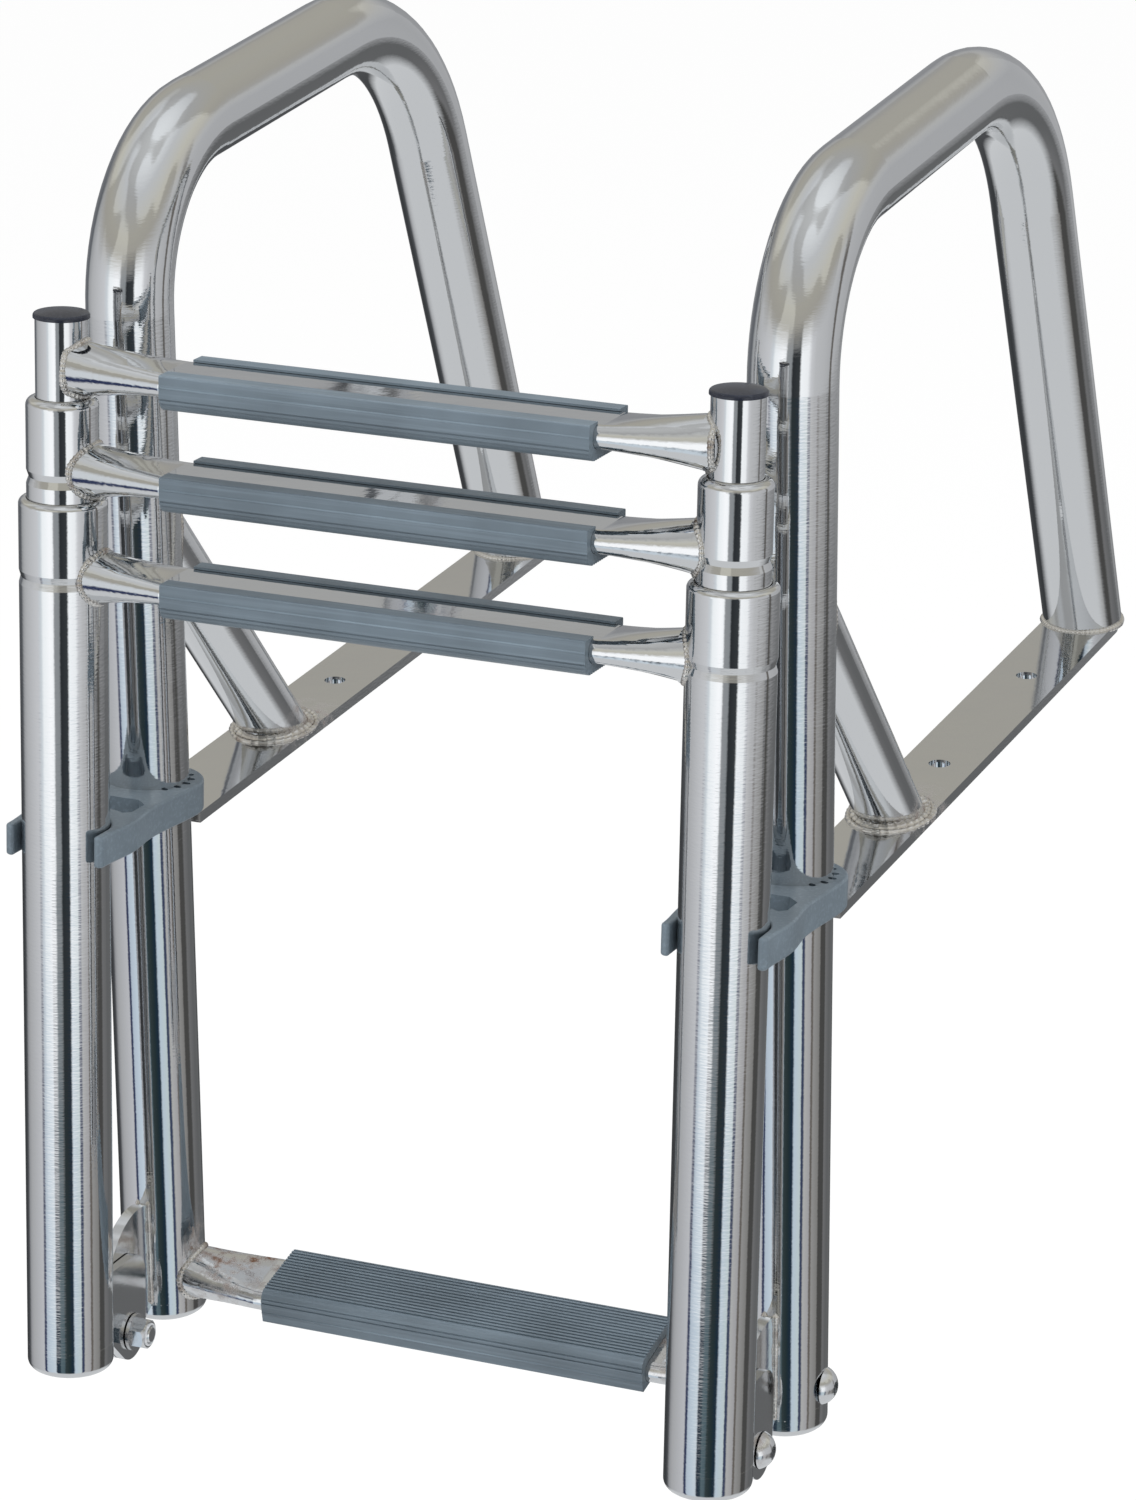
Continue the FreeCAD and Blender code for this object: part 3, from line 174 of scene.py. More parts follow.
class LADDER_PG_sizes(bpy.types.PropertyGroup):
    """Sizes of what is added, and of the solids that it is fitted to."""
    bead: length_prop("Weld bead", 1.5, "Radius of a weld bead")
    thick_bead: length_prop("Thick bead", 2.3, "Radius of the bead round a brace's foot")
    rim_bead: length_prop("Rim bead", 1.5, "Radius of the second bead round a brace's foot")
    rim_gap: length_prop("Rim gap", 3.4, "Second bead outside the first at a brace's foot")
    ripple: length_prop("Ripple", 1.9, "From one ripple of a bead to the next")
    rung_round: length_prop("Rung radius", 12.5, "Radius of a rung's round end")
    rung_flat: length_prop("Rung flat", 5, "Half thickness of a rung's flattened middle")
    rung_shoulder: length_prop("Rung shoulder", 11.75, "Half length of the flat face's straight part")
    rung_taper: length_prop("Rung taper", 53, "Tube axis to the flattened middle")
    rung_bite: bpy.props.FloatProperty(
        name="Rung bite", default=0.6,
        description="Where a rung starts, as a share of the carrying tube's radius")
    seam: angle_prop("Seam", 40, "Corner of the flattening seen from the rung's axis")
    step_tip: angle_prop("Step tip", 9, "Fixed step's tilt")
    brace_foot: length_prop("Brace foot", 129.8, "Rail axis to the brace on the foot bar")
    brace_angle: angle_prop("Brace angle", 48.4, "Brace from the horizontal")
    leg_lean: angle_prop("Leg lean", 22.6, "Rear leg from the vertical")
    cope_half: length_prop("Cope", 8.5, "Half width of the foot bar's seat on the rail")
    gusset_heel: length_prop("Gusset heel", 9, "Gusset's lower corner above the rail's end")
    pin_reach: length_prop("Pin reach", 46.5, "Hinge pin to the tube's axis")
    bracket_low: length_prop("Bracket foot", 12, "Bracket's lower edge above the pin level")
    bracket_high: length_prop("Bracket top", 36, "Bracket's upper edge above the pin level")
    end_round: length_prop("End rounding", 4, "Corner radius of a tube's welded end")
    end_high: length_prop("End cup", 12, "Height of a tube's welded end")
    end_wall: length_prop("End wall", 0.5, "Wall of a tube's welded end")
    head_dia: length_prop("Bolt head", 16.5, "Diameter of a domed bolt head")
    head_high: length_prop("Bolt head height", 5.5, "Height of a domed bolt head")
    shank_dia: length_prop("Bolt shank", 8, "Diameter of a bolt's shank")
    socket_flats: length_prop("Socket", 5, "Hexagon socket across flats")
    socket_deep: length_prop("Socket depth", 3, "Depth of a hexagon socket")
    thread_pitch: length_prop("Thread pitch", 1.25, "From one turn of a bolt's thread to the next")
    thread_deep: length_prop("Thread depth", 0.5, "Depth of a bolt's thread")
    clip_high: length_prop("Clip height", 14, "Height of a clip")
    clip_level: length_prop("Clip level", 18, "Middle of a clip at the rail above the foot bars")
    clip_tilt: angle_prop("Clip tilt", 4.6, "Rise of a clip towards the ladder")
    clip_ring: length_prop("Clip ring", 25, "Outer radius of a clip's ring")
    clip_waist: length_prop("Clip waist", 22.8, "Half width of a clip's neck")
    clip_arm: length_prop("Clip arm", 25, "Half width of a clip at its arms")
    clip_tip: length_prop("Clip tip", 23.4, "Half width of a clip at its tips")
    clip_waist_at: length_prop("Clip waist place", 38, "Neck in front of the rail's axis")
    clip_swell: length_prop("Clip swell", 15, "Full width behind the ladder tube's axis")
    clip_reach: length_prop("Clip reach", 11.8, "Arms beyond the ladder tube's axis")
    clip_play: length_prop("Clip play", 0.4, "Clip to the ladder tube")
    clip_edge: length_prop("Clip edge", 1.2, "Rounded edge of a clip")
    clip_tip_round: length_prop("Clip tip rounding", 2.4, "Outer corner of an arm's tip")
    clip_mouth_round: length_prop("Clip mouth rounding", 1.3, "Inner corner of an arm's tip")
    window_half: length_prop("Window half", 17.5, "Half width of the hole in a clip's web")
    window_rear: length_prop("Window rear", 32, "Rear edge of the hole in front of the rail's axis")
    window_cut: length_prop("Window cut", 5.5, "Cut rear corner of the hole")
    window_nip: length_prop("Window nip", 3, "Cut front corner of the hole")
    window_wall: length_prop("Window wall", 9.8, "Web between the hole and the ladder tube")
    notch_radius: length_prop("Notch", 1.4, "Radius of a notch in a clip's ring")
    notch_out: length_prop("Notch place", 0.8, "Notch centre outside the rail")
    notch_start: angle_prop("First notch", 40, "First notch in front of the rail's side")
    notch_step: angle_prop("Notch step", 20, "From one notch to the next")
    insert_bore: length_prop("Insert bore", 4.1, "Inner radius of a nut's locking ring")
    insert_rim: length_prop("Insert rim", 5.3, "Outer radius of a nut's locking ring")
    insert_proud: length_prop("Insert proud", 0.7, "Locking ring above the nut's face")
    line_half: length_prop("Mould line", 0.45, "Half width of the line that a mould leaves")
    line_proud: length_prop("Mould line height", 0.22, "Height of the line that a mould leaves")
    line_level: length_prop("Mould line level", 1.0, "Mould line from the rung's axis")


class LADDER_PG_view(bpy.types.PropertyGroup):
    """Where the camera stands, taken from the lens fit to the reference view."""
    across: length_prop("Across", 1040.1, "Camera to the right of the left rail")
    ahead: length_prop("Ahead", 1997.1, "Camera in front of the rails' axes")
    above: length_prop("Above", 880.7, "Camera above the foot bars")
    yaw: angle_prop("Yaw", 22.76, "Turn to the left")
    pitch: angle_prop("Pitch", 20.609, "Tilt down")
    roll: angle_prop("Roll", -0.388, "Roll")
    focal: bpy.props.FloatProperty(
        name="Focal length", description="In pixels of the full picture", default=5427, min=1)


# Nodes and materials

def add_node(tree, kind, settings=None, **links):
    """Add one node: settings are its attributes, or a colour ramp's stops, and links fill its inputs.

    The kind is the node's type without ShaderNode. A link names an input, or counts it as i0, i1 and so on,
    and gives a value, a colour, another node's socket or another node, which stands for its first output in use.
    """
    node = tree.nodes.new("ShaderNode" + kind)
    for key, item in (settings or {}).items():
        if key != "stops":
            setattr(node, key, item)
            continue
        band = node.color_ramp.elements
        while len(band) < len(item):
            band.new(0.5)
        for element, (position, colour) in zip(band, item):
            element.position = position
            element.color = (*colour, 1)
    for key, item in links.items():
        target = node.inputs[int(key[1:]) if key[1:].isdigit() else key.replace("_", " ")]
        if isinstance(item, bpy.types.Node):
            item = next(output for output in item.outputs if output.enabled)
        if isinstance(item, bpy.types.NodeSocket):
            tree.links.new(item, target)
        elif target.type == "RGBA":
            target.default_value = (*item[:3], 1)
        else:
            target.default_value = item
    return node


def new_material(name):
    """An empty material and its node tree."""
    material = bpy.data.materials.new(name)
    material.use_nodes = True
    material.node_tree.nodes.clear()
    return material, material.node_tree


# Stains, in metres: how far one reaches, and its centre towards the middle, back and up from where it sits
FOOT_STAIN = (34 * MM, 0.0, 8 * MM, 5 * MM)
STEP_STAIN = (36 * MM, 38 * MM, 8 * MM, 8 * MM)
HEAD_STAIN = (15 * MM, 0.0, -4 * MM, 6 * MM)
STAIN_CORE = 0.35
STAIN_BLOTCH = 7 * MM


def stain_spots(stain, back, up):
    """A stain on each side, in line with the rail, as its centre and reach."""
    reach, inwards, behind, above = stain
    return [(np.array((rail_axis(side)[0] + way * inwards, back + behind, up + above)), reach)
            for side, way in SIDES.items()]


def stain_share(tree, place, spots):
    """How stained a point is: 1 up to a spot's core, 0 past its reach, broken up by blotches."""
    nearest = None
    for centre, reach in spots:
        away = add_node(tree, "VectorMath", {"operation": "DISTANCE"}, i0=place, i1=tuple(centre))
        share = add_node(tree, "MapRange", Value=away, From_Min=STAIN_CORE * reach, From_Max=reach,
                         To_Min=1.0, To_Max=0.0)
        if nearest is not None:
            share = add_node(tree, "Math", {"operation": "MAXIMUM"}, i0=nearest, i1=share)
        nearest = share
    blotch = add_node(tree, "TexNoise", Vector=place, Scale=1 / STAIN_BLOTCH, Detail=5.0, Roughness=0.65)
    broken = add_node(tree, "MapRange", Value=blotch, From_Min=0.46, From_Max=0.66)
    return add_node(tree, "Math", {"operation": "MULTIPLY"}, i0=nearest, i1=broken)


# Patterns of the steel, in metres. Real grinding marks are some 0.1 mm apart, too fine for the picture, so the
# rings are drawn 0.9 mm apart and four times as long round the tube.
SMEAR_SIZE = 45 * MM
WAVE_SIZE, WAVE_DEEP = 22 * MM, 0.3 * MM
RING_SIZE, RING_DEEP, RING_LONG = 0.9 * MM, 0.08 * MM, 4.0


def polished_steel(name, finish, rough, spots=(), wave=0.35):
    """Stainless steel, ground round the tube and mirror polished: sharp reflections, faint rings and waves.

    At the spots it is stained by heat and rust, which is brown and dull. The wave is how strongly the steel's
    slow unevenness bends what it mirrors.
    """
    material, tree = new_material(name)
    place = add_node(tree, "TexCoord").outputs["Object"]
    smears = add_node(tree, "TexNoise", Vector=place, Scale=1 / SMEAR_SIZE, Detail=4.0, Roughness=0.6)
    roughness = add_node(tree, "MapRange", Value=smears, From_Min=0.35, From_Max=0.75, To_Min=rough * 0.7,
                         To_Max=rough * 1.8)
    waves = add_node(tree, "TexNoise", Vector=place, Scale=1 / WAVE_SIZE, Detail=1.0)
    soft = add_node(tree, "Bump", Strength=wave, Distance=WAVE_DEEP, Height=waves)
    ground = add_node(tree, "Mapping", Vector=place, Scale=(1 / RING_LONG, 1 / RING_LONG, 1.0))
    rings = add_node(tree, "TexNoise", Vector=ground, Scale=1 / RING_SIZE, Detail=2.0)
    fine = add_node(tree, "Bump", Strength=0.35, Distance=RING_DEEP, Height=rings, Normal=soft)
    base, metallic = tuple(finish.steel), 1.0
    if spots:
        share = stain_share(tree, place, spots)
        base = add_node(tree, "Mix", {"data_type": "RGBA"}, i0=share, i6=base, i7=finish.stain)
        metallic = add_node(tree, "MapRange", Value=share, To_Min=1.0, To_Max=0.25)
        roughness = add_node(tree, "Math", {"operation": "MULTIPLY_ADD"}, i0=share, i1=0.45, i2=roughness)
    shader = add_node(tree, "BsdfPrincipled", Base_Color=base, Metallic=metallic, Roughness=roughness, Normal=fine)
    add_node(tree, "OutputMaterial", Surface=shader)
    return material


# Patterns of a weld, in metres
TINT_SIZE = 9 * MM
PIT_SIZE, PIT_DEEP = 0.8 * MM, 0.12 * MM


def weld_metal(name, finish):
    """Stainless filler laid by hand and brushed: a bright uneven bead with straw and brown heat tint."""
    material, tree = new_material(name)
    colour, stain = tuple(finish.weld), tuple(finish.stain)
    straw = tuple(0.75 * c + 0.25 * s for c, s in zip(colour, stain))
    place = add_node(tree, "TexCoord").outputs["Object"]
    tint = add_node(tree, "TexNoise", Vector=place, Scale=1 / TINT_SIZE, Detail=3.0)
    tone = add_node(tree, "ValToRGB", {"stops": ((0.45, colour), (0.62, straw), (0.78, stain))}, Fac=tint)
    pits = add_node(tree, "TexNoise", Vector=place, Scale=1 / PIT_SIZE, Detail=2.0)
    bump = add_node(tree, "Bump", Strength=0.3, Distance=PIT_DEEP, Height=pits)
    shader = add_node(tree, "BsdfPrincipled", Base_Color=tone, Metallic=1.0, Roughness=0.28, Normal=bump)
    add_node(tree, "OutputMaterial", Surface=shader)
    return material


# Patterns of the plastic, in metres: clouds lighter and darker by a share, scuffs paler by a gain and a lift, and
# the grain. A tread's scuffs are drawn out along it, so that they read as fine streaks.
CLOUD_SIZE, CLOUD_LIFT = 30 * MM, 0.12
SCUFF_SIZE, SCUFF_GAIN, SCUFF_LIFT = 1.6 * MM, 1.7, 0.03
GRAIN_SIZE, GRAIN_DEEP = 0.35 * MM, 0.03 * MM
TREAD_STREAK = 60.0


def moulded_plastic(name, colour, rough=0.42, streak=1.0):
    """Injection-moulded polymer: a dull even sheen, a fine moulded grain and pale scuffs.

    The scuffs are drawn out along X by the streak.
    """
    material, tree = new_material(name)
    dark, light = (tuple(min(1, c * lift) for c in colour) for lift in (1 - CLOUD_LIFT, 1 + CLOUD_LIFT))
    pale = tuple(min(1, c * SCUFF_GAIN + SCUFF_LIFT) for c in colour)
    place = add_node(tree, "TexCoord").outputs["Object"]
    drawn = add_node(tree, "Mapping", Vector=place, Scale=(1 / streak, 1.0, 1.0))
    cloud = add_node(tree, "TexNoise", Vector=place, Scale=1 / CLOUD_SIZE, Detail=3.0)
    tone = add_node(tree, "ValToRGB", {"stops": ((0.3, dark), (0.7, light))}, Fac=cloud)
    scuffs = add_node(tree, "TexNoise", Vector=drawn, Scale=1 / SCUFF_SIZE, Detail=3.0)
    scuffed = add_node(tree, "MapRange", Value=scuffs, From_Min=0.5, From_Max=0.75, To_Max=0.35)
    worn = add_node(tree, "Mix", {"data_type": "RGBA"}, i0=scuffed, i6=tone, i7=pale)
    grain = add_node(tree, "TexNoise", Vector=place, Scale=1 / GRAIN_SIZE, Detail=2.0)
    bump = add_node(tree, "Bump", Strength=0.25, Distance=GRAIN_DEEP, Height=grain)
    shader = add_node(tree, "BsdfPrincipled", Base_Color=worn, Roughness=rough, Normal=bump)
    add_node(tree, "OutputMaterial", Surface=shader)
    return material


def dress(material, *names):
    """Give CAD nodes a material in every slot."""
    for name in names:
        slots = frame["nodes"][name].data.materials
        if not slots:
            slots.append(material)
        for index in range(len(slots)):
            slots[index] = material


# Surfaces

# Points round a bead, along a weld and round a turned piece
ROUND_POINTS, PATH_POINTS, TURN_POINTS = 12, 288, 96
# How far a cover stands off the solid, and the turn past which an edge stays sharp
SKIN = 0.02 * MM
SHARP = math.radians(35)
# A bead: the dip between two ripples, its slow waves as height, number along the bead and shift by the seed, and
# how steeply and how far an open bead thins out at its ends
RIPPLE_DEEP = 0.2
SWELLS = ((0.12, 3, 0.37), (0.08, 7, 0.61))
END_STEEP, END_THIN = 4, 0.05


def all_round(count):
    """Angles of the points round a circle."""
    return np.linspace(0, 2 * np.pi, count, endpoint=False)


def grid_faces(rows, columns, rows_close=True, columns_close=True):
    """Faces of a grid of points, counted row by row, whose rows and columns may close on themselves."""
    row = np.arange(rows if rows_close else rows - 1)[:, None]
    column = np.arange(columns if columns_close else columns - 1)[None, :]
    near, far = row * columns, (row + 1) % rows * columns
    after = (column + 1) % columns
    return np.stack([near + column, far + column, far + after, near + after], axis=-1).reshape(-1, 4)


def carried(path, outward, across, high, closed=True):
    """An ellipse carried along a path, which closes on itself or ends in flat caps.

    With d the way along the path, o the outward direction made square to d, and s = d x o, point (i, j) is
    path_i + s_i * across_i * cos(a_j) + o_i * high_i * sin(a_j), where a_j runs once round.
    """
    if closed:
        along = np.roll(path, -1, axis=0) - np.roll(path, 1, axis=0)
    else:
        along = np.gradient(path, axis=0)
    along = along / np.linalg.norm(along, axis=1, keepdims=True)
    out = outward - along * np.sum(along * outward, axis=1, keepdims=True)
    out = out / np.linalg.norm(out, axis=1, keepdims=True)
    side = np.cross(along, out)
    turn = all_round(ROUND_POINTS)
    across = np.broadcast_to(across, len(path))[:, None] * np.cos(turn)
    high = np.broadcast_to(high, len(path))[:, None] * np.sin(turn)
    points = path[:, None] + side[:, None] * across[..., None] + out[:, None] * high[..., None]
    blocks = [grid_faces(len(path), ROUND_POINTS, closed)]
    if not closed:
        cap = np.arange(ROUND_POINTS)
        blocks.append(np.stack([cap, (len(path) - 1) * ROUND_POINTS + cap[::-1]]))
    return points.reshape(-1, 3), blocks


def turned(radius, height, centre, axis, poles=None):
    """A profile turned about an axis.

    Point (i, j) is centre + axis * height_j + radius_ij * (u * cos(a_i) + v * sin(a_i)), with u and v square to
    the axis. The profile closes on itself, or with two heights given as poles ends in the axis at each of them.
    """
    u = np.cross(axis, BACK)
    u = u / np.linalg.norm(u)
    v = np.cross(axis, u)
    turn = all_round(TURN_POINTS)
    spoke = np.cos(turn)[:, None] * u + np.sin(turn)[:, None] * v
    radius = np.broadcast_to(radius, (TURN_POINTS, len(height)))
    points = centre + spoke[:, None] * radius[..., None] + axis * np.asarray(height)[None, :, None]
    points = points.reshape(-1, 3)
    columns = len(height)
    if poles is None:
        return points, [grid_faces(TURN_POINTS, columns)]
    near = np.arange(TURN_POINTS)[:, None] * columns
    far = np.roll(near, -1, axis=0)
    pole = np.full_like(near, len(points))
    start = np.hstack([pole, far, near])
    end = np.hstack([near + columns - 1, far + columns - 1, pole + 1])
    tips = np.stack([centre + axis * level for level in poles])
    return np.vstack([points, tips]), [grid_faces(TURN_POINTS, columns, True, False), start, end]


def bead(path, outward, size, ripple, seed, closed=True):
    """A hand-laid weld bead along a path.

    Its radius is size * swell * (1 - dip * |sin(pi * length / ripple)|), where length is counted along the path
    and swell is 1 plus two slow waves that the seed shifts. An open bead thins out at its ends.
    """
    ends = path if not closed else np.vstack([path, path[:1]])
    steps = np.linalg.norm(np.diff(ends, axis=0), axis=1)
    length = np.concatenate([[0.0], np.cumsum(steps)])
    share = length[:len(path)] / length[-1]
    ripples = max(round(length[-1] / ripple), 1)
    swell = sum((high * np.sin(2 * np.pi * (waves * share + shift * seed)) for high, waves, shift in SWELLS), 1)
    radius = size * swell * (1 - RIPPLE_DEEP * np.abs(np.sin(np.pi * ripples * share)))
    if not closed:
        radius = radius * np.clip(END_STEEP * (1 - np.abs(2 * share - 1)) ** 0.5, END_THIN, 1)
    return carried(path, outward, radius, radius, closed)


def add_piece(name, skins, body, material, sharp=None):
    """One object from several skins; it rides on a body and takes the material that it is given.

    With sharp given, edges that turn by more than that angle stay sharp.
    """
    points, faces, start = [], [], 0
    for skin_points, blocks in skins:
        points.append(skin_points)
        for block in blocks:
            faces += (block + start).tolist()
        start += len(skin_points)
    mesh = bpy.data.meshes.new(name)
    mesh.from_pydata(np.concatenate(points).tolist(), [], faces)
    mesh.polygons.foreach_set("use_smooth", np.ones(len(faces), dtype=bool))
    if sharp is not None:
        mesh.set_sharp_from_angle(angle=sharp)
    mesh.materials.append(material)
    piece = bpy.data.objects.new(name, mesh)
    bpy.context.scene.collection.objects.link(piece)
    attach(piece, body)
    return piece


# Paths of the welds, each counted from the tube's axis

# How often the place where a rung meets its tube is put in again
SETTLE_ROUNDS = 8


def rung_end(sizes, radius, tip=0.0):
    """Where a rung's skin meets the tube that carries it.

    At a distance x the skin is (1 - w) * round + w * flat with w = (x - start) / (taper - start), where round
    is a circle and flat a slot with half-round ends, both in four edges. It meets the tube where x * x + y * y =
    radius * radius, with y turned by the rung's tip, or else at the start; x is put in again until it settles.
    """
    share = np.linspace(0, 1, PATH_POINTS // 4, endpoint=False)
    seam, quarter = sizes.seam, math.pi / 2
    wide, thick, shoulder = np.pi - 2 * seam, sizes.rung_flat, sizes.rung_shoulder
    turn = np.concatenate([seam - np.pi + wide * share, -seam + 2 * seam * share,
                           seam + wide * share, np.pi - seam + 2 * seam * share])
    ends = -quarter + np.pi * share
    flat_y = np.concatenate([shoulder * (2 * share - 1), shoulder + thick * np.cos(ends),
                             shoulder * (1 - 2 * share), -shoulder - thick * np.cos(ends)])
    flat_z = np.concatenate([np.full(len(share), -thick), thick * np.sin(ends),
                             np.full(len(share), thick), -thick * np.sin(ends)])
    start = sizes.rung_bite * radius
    x = np.full(len(turn), radius)
    for _ in range(SETTLE_ROUNDS):
        w = (x - start) / (sizes.rung_taper - start)
        y = (1 - w) * sizes.rung_round * np.cos(turn) + w * flat_y
        z = (1 - w) * sizes.rung_round * np.sin(turn) + w * flat_z
        y, z = y * math.cos(tip) - z * math.sin(tip), y * math.sin(tip) + z * math.cos(tip)
        x = np.sqrt(np.maximum(radius * radius - y * y, start * start))
    return np.stack([x, y, z], axis=1)


def brace_end(sizes, radius, rail_radius=None, top=0.0, out=0.0):
    """Where a brace's skin meets the rail, or the plane of the foot bar.

    The skin is foot + s * d + r * (cos(t) * X + sin(t) * e), with d the brace's way up and e square to it. On
    the rail s makes y = sqrt(R * R - x * x), and on the bar s makes z = top. r is the radius plus out.
    """
    turn = all_round(PATH_POINTS)
    sin, cos = math.sin(sizes.brace_angle), math.cos(sizes.brace_angle)
    r = radius + out
    x, rise = r * np.cos(turn), r * np.sin(turn)
    if rail_radius is None:
        s = -rise * cos / sin
    else:
        s = (sizes.brace_foot + rise * sin - np.sqrt(rail_radius * rail_radius - x * x)) / cos
    return np.stack([x, sizes.brace_foot - s * cos + rise * sin, top + s * sin + rise * cos], axis=1)


def oval(half_x, half_y, y, z):
    """A level oval: (half_x * cos(t), y + half_y * sin(t), z)."""
    turn = all_round(PATH_POINTS)
    return np.stack([half_x * np.cos(turn), y + half_y * np.sin(turn), np.full(len(turn), z)], axis=1)


def cope_arc(radius, half, z):
    """The part of a tube's round that a bar sits on: (radius * sin(t), radius * cos(t), z)."""
    turn = np.linspace(-1, 1, PATH_POINTS // 6) * math.asin(half / radius)
    return np.stack([radius * np.sin(turn), radius * np.cos(turn), np.full(len(turn), z)], axis=1)


def plate_line(radius, x, low, high, way):
    """An upright line where a plate's face at x meets a tube: y = way * sqrt(radius * radius - x * x)."""
    z = np.linspace(low, high, PATH_POINTS // 3)
    y = way * math.sqrt(radius * radius - x * x)
    return np.stack([np.full(len(z), x), np.full(len(z), y), z], axis=1)


def plate_frame(radius, half, low, high):
    """A rectangle laid on the back of a tube: y = sqrt(radius * radius - x * x) along all four sides."""
    share = np.linspace(0, 1, PATH_POINTS // 4, endpoint=False)
    x = np.concatenate([half * (2 * share - 1), np.full(len(share), half), half * (1 - 2 * share),
                        np.full(len(share), -half)])
    z = np.concatenate([np.full(len(share), low), low + (high - low) * share, np.full(len(share), high),
                        high - (high - low) * share])
    return np.stack([x, np.sqrt(radius * radius - x * x), z], axis=1)


def outwards(path):
    """Away from the tube's axis at each point: (x, y, 0) made one long."""
    flat = path * np.array((1.0, 1.0, 0.0))
    return flat / np.linalg.norm(flat, axis=1, keepdims=True)


def put(path, origin, way_across=1, back=BACK, up=UP):
    """A path at its place: origin + x * across + y * back + z * up."""
    return origin + path[:, :1] * way_across * ACROSS + path[:, 1:2] * back + path[:, 2:] * up


def laid(path, origin, size, ripple, seed, closed=True, way_across=1, back=BACK, up=UP):
    """A bead on a path that is given from a tube's axis."""
    away = put(outwards(path), np.zeros(3), way_across, back, up)
    return bead(put(path, origin, way_across, back, up), away, size, ripple, seed, closed)


class LADDER_OT_steel(bpy.types.Operator):
    """Polish the tubes, bars, plates and fasteners"""
    bl_idname = "ladder.steel"
    bl_label = "Polished steel"

    def execute(self, context):
        finish, sizes = context.scene.ladder_finish, context.scene.ladder_sizes
        step = middle("fixed_step")
        feet = stain_spots(FOOT_STAIN, rail_axis("left")[1] + sizes.brace_foot, 0.0)
        step_ends = stain_spots(STEP_STAIN, step[1], step[2])
        heads = stain_spots(HEAD_STAIN, PIN[1], PIN[2])
        tube = polished_steel("mirror_polished_stainless_tube", finish, 0.045)
        rail = polished_steel("mirror_polished_stainless_handrail", finish, 0.045, step_ends)
        brace = polished_steel("mirror_polished_stainless_brace", finish, 0.05, feet)
        plate = polished_steel("polished_stainless_bar", finish, 0.07, feet)
        lug = polished_steel("polished_stainless_plate", finish, 0.09)
        bolt = polished_steel("polished_stainless_fastener", finish, 0.12, heads, wave=0.1)
        pressed = polished_steel("pressed_stainless_rung", finish, 0.05, wave=0.4)
        step_steel = polished_steel("pressed_stainless_step", finish, 0.06, step_ends, wave=0.4)
        for side in SIDES:
            dress(rail, side + "_rail")
            dress(brace, side + "_brace")
            dress(tube, *(side + "_" + n for n in ("outer_tube", "mid_tube", "inner_tube")))
            dress(plate, side + "_foot_bar")
            dress(lug, side + "_gusset", side + "_hinge_bracket")
            dress(bolt, *(side + "_" + n for n in ("hinge_bolt", "hinge_washer", "hinge_nut", "step_bolt")))
        dress(step_steel, "fixed_step")
        dress(pressed, *RUNG_BODIES)
        return {"FINISHED"}


class LADDER_OT_plastic(bpy.types.Operator):
    """Colour the treads, clips, caps and bushes"""
    bl_idname = "ladder.plastic"
    bl_label = "Moulded plastic"

    def execute(self, context):
        finish = context.scene.ladder_finish
        tread = moulded_plastic("moulded_tread_polymer", finish.tread, streak=TREAD_STREAK)
        clip = moulded_plastic("moulded_clip_nylon", finish.clip, rough=0.36)
        cap = moulded_plastic("moulded_cap_polyethylene", finish.cap, rough=0.25)
        nylon = moulded_plastic("turned_black_nylon", finish.nylon, rough=0.5)
        dress(tread, *(carrier + "_tread" for carrier in ("fixed_step", *RUNG_BODIES)))
        for side in SIDES:
            dress(clip, side + "_clip")
            dress(cap, side + "_cap")
            dress(nylon, *(side + "_" + n for n in ("outer_bush", "mid_bush", "mid_foot", "inner_foot")))
        return {"FINISHED"}


# The bead round a brace's foot, in metres: how far it stands above the foot bar and outside the brace
FOOT_BEAD_UP, FOOT_BEAD_OUT = 0.3 * MM, 0.6 * MM


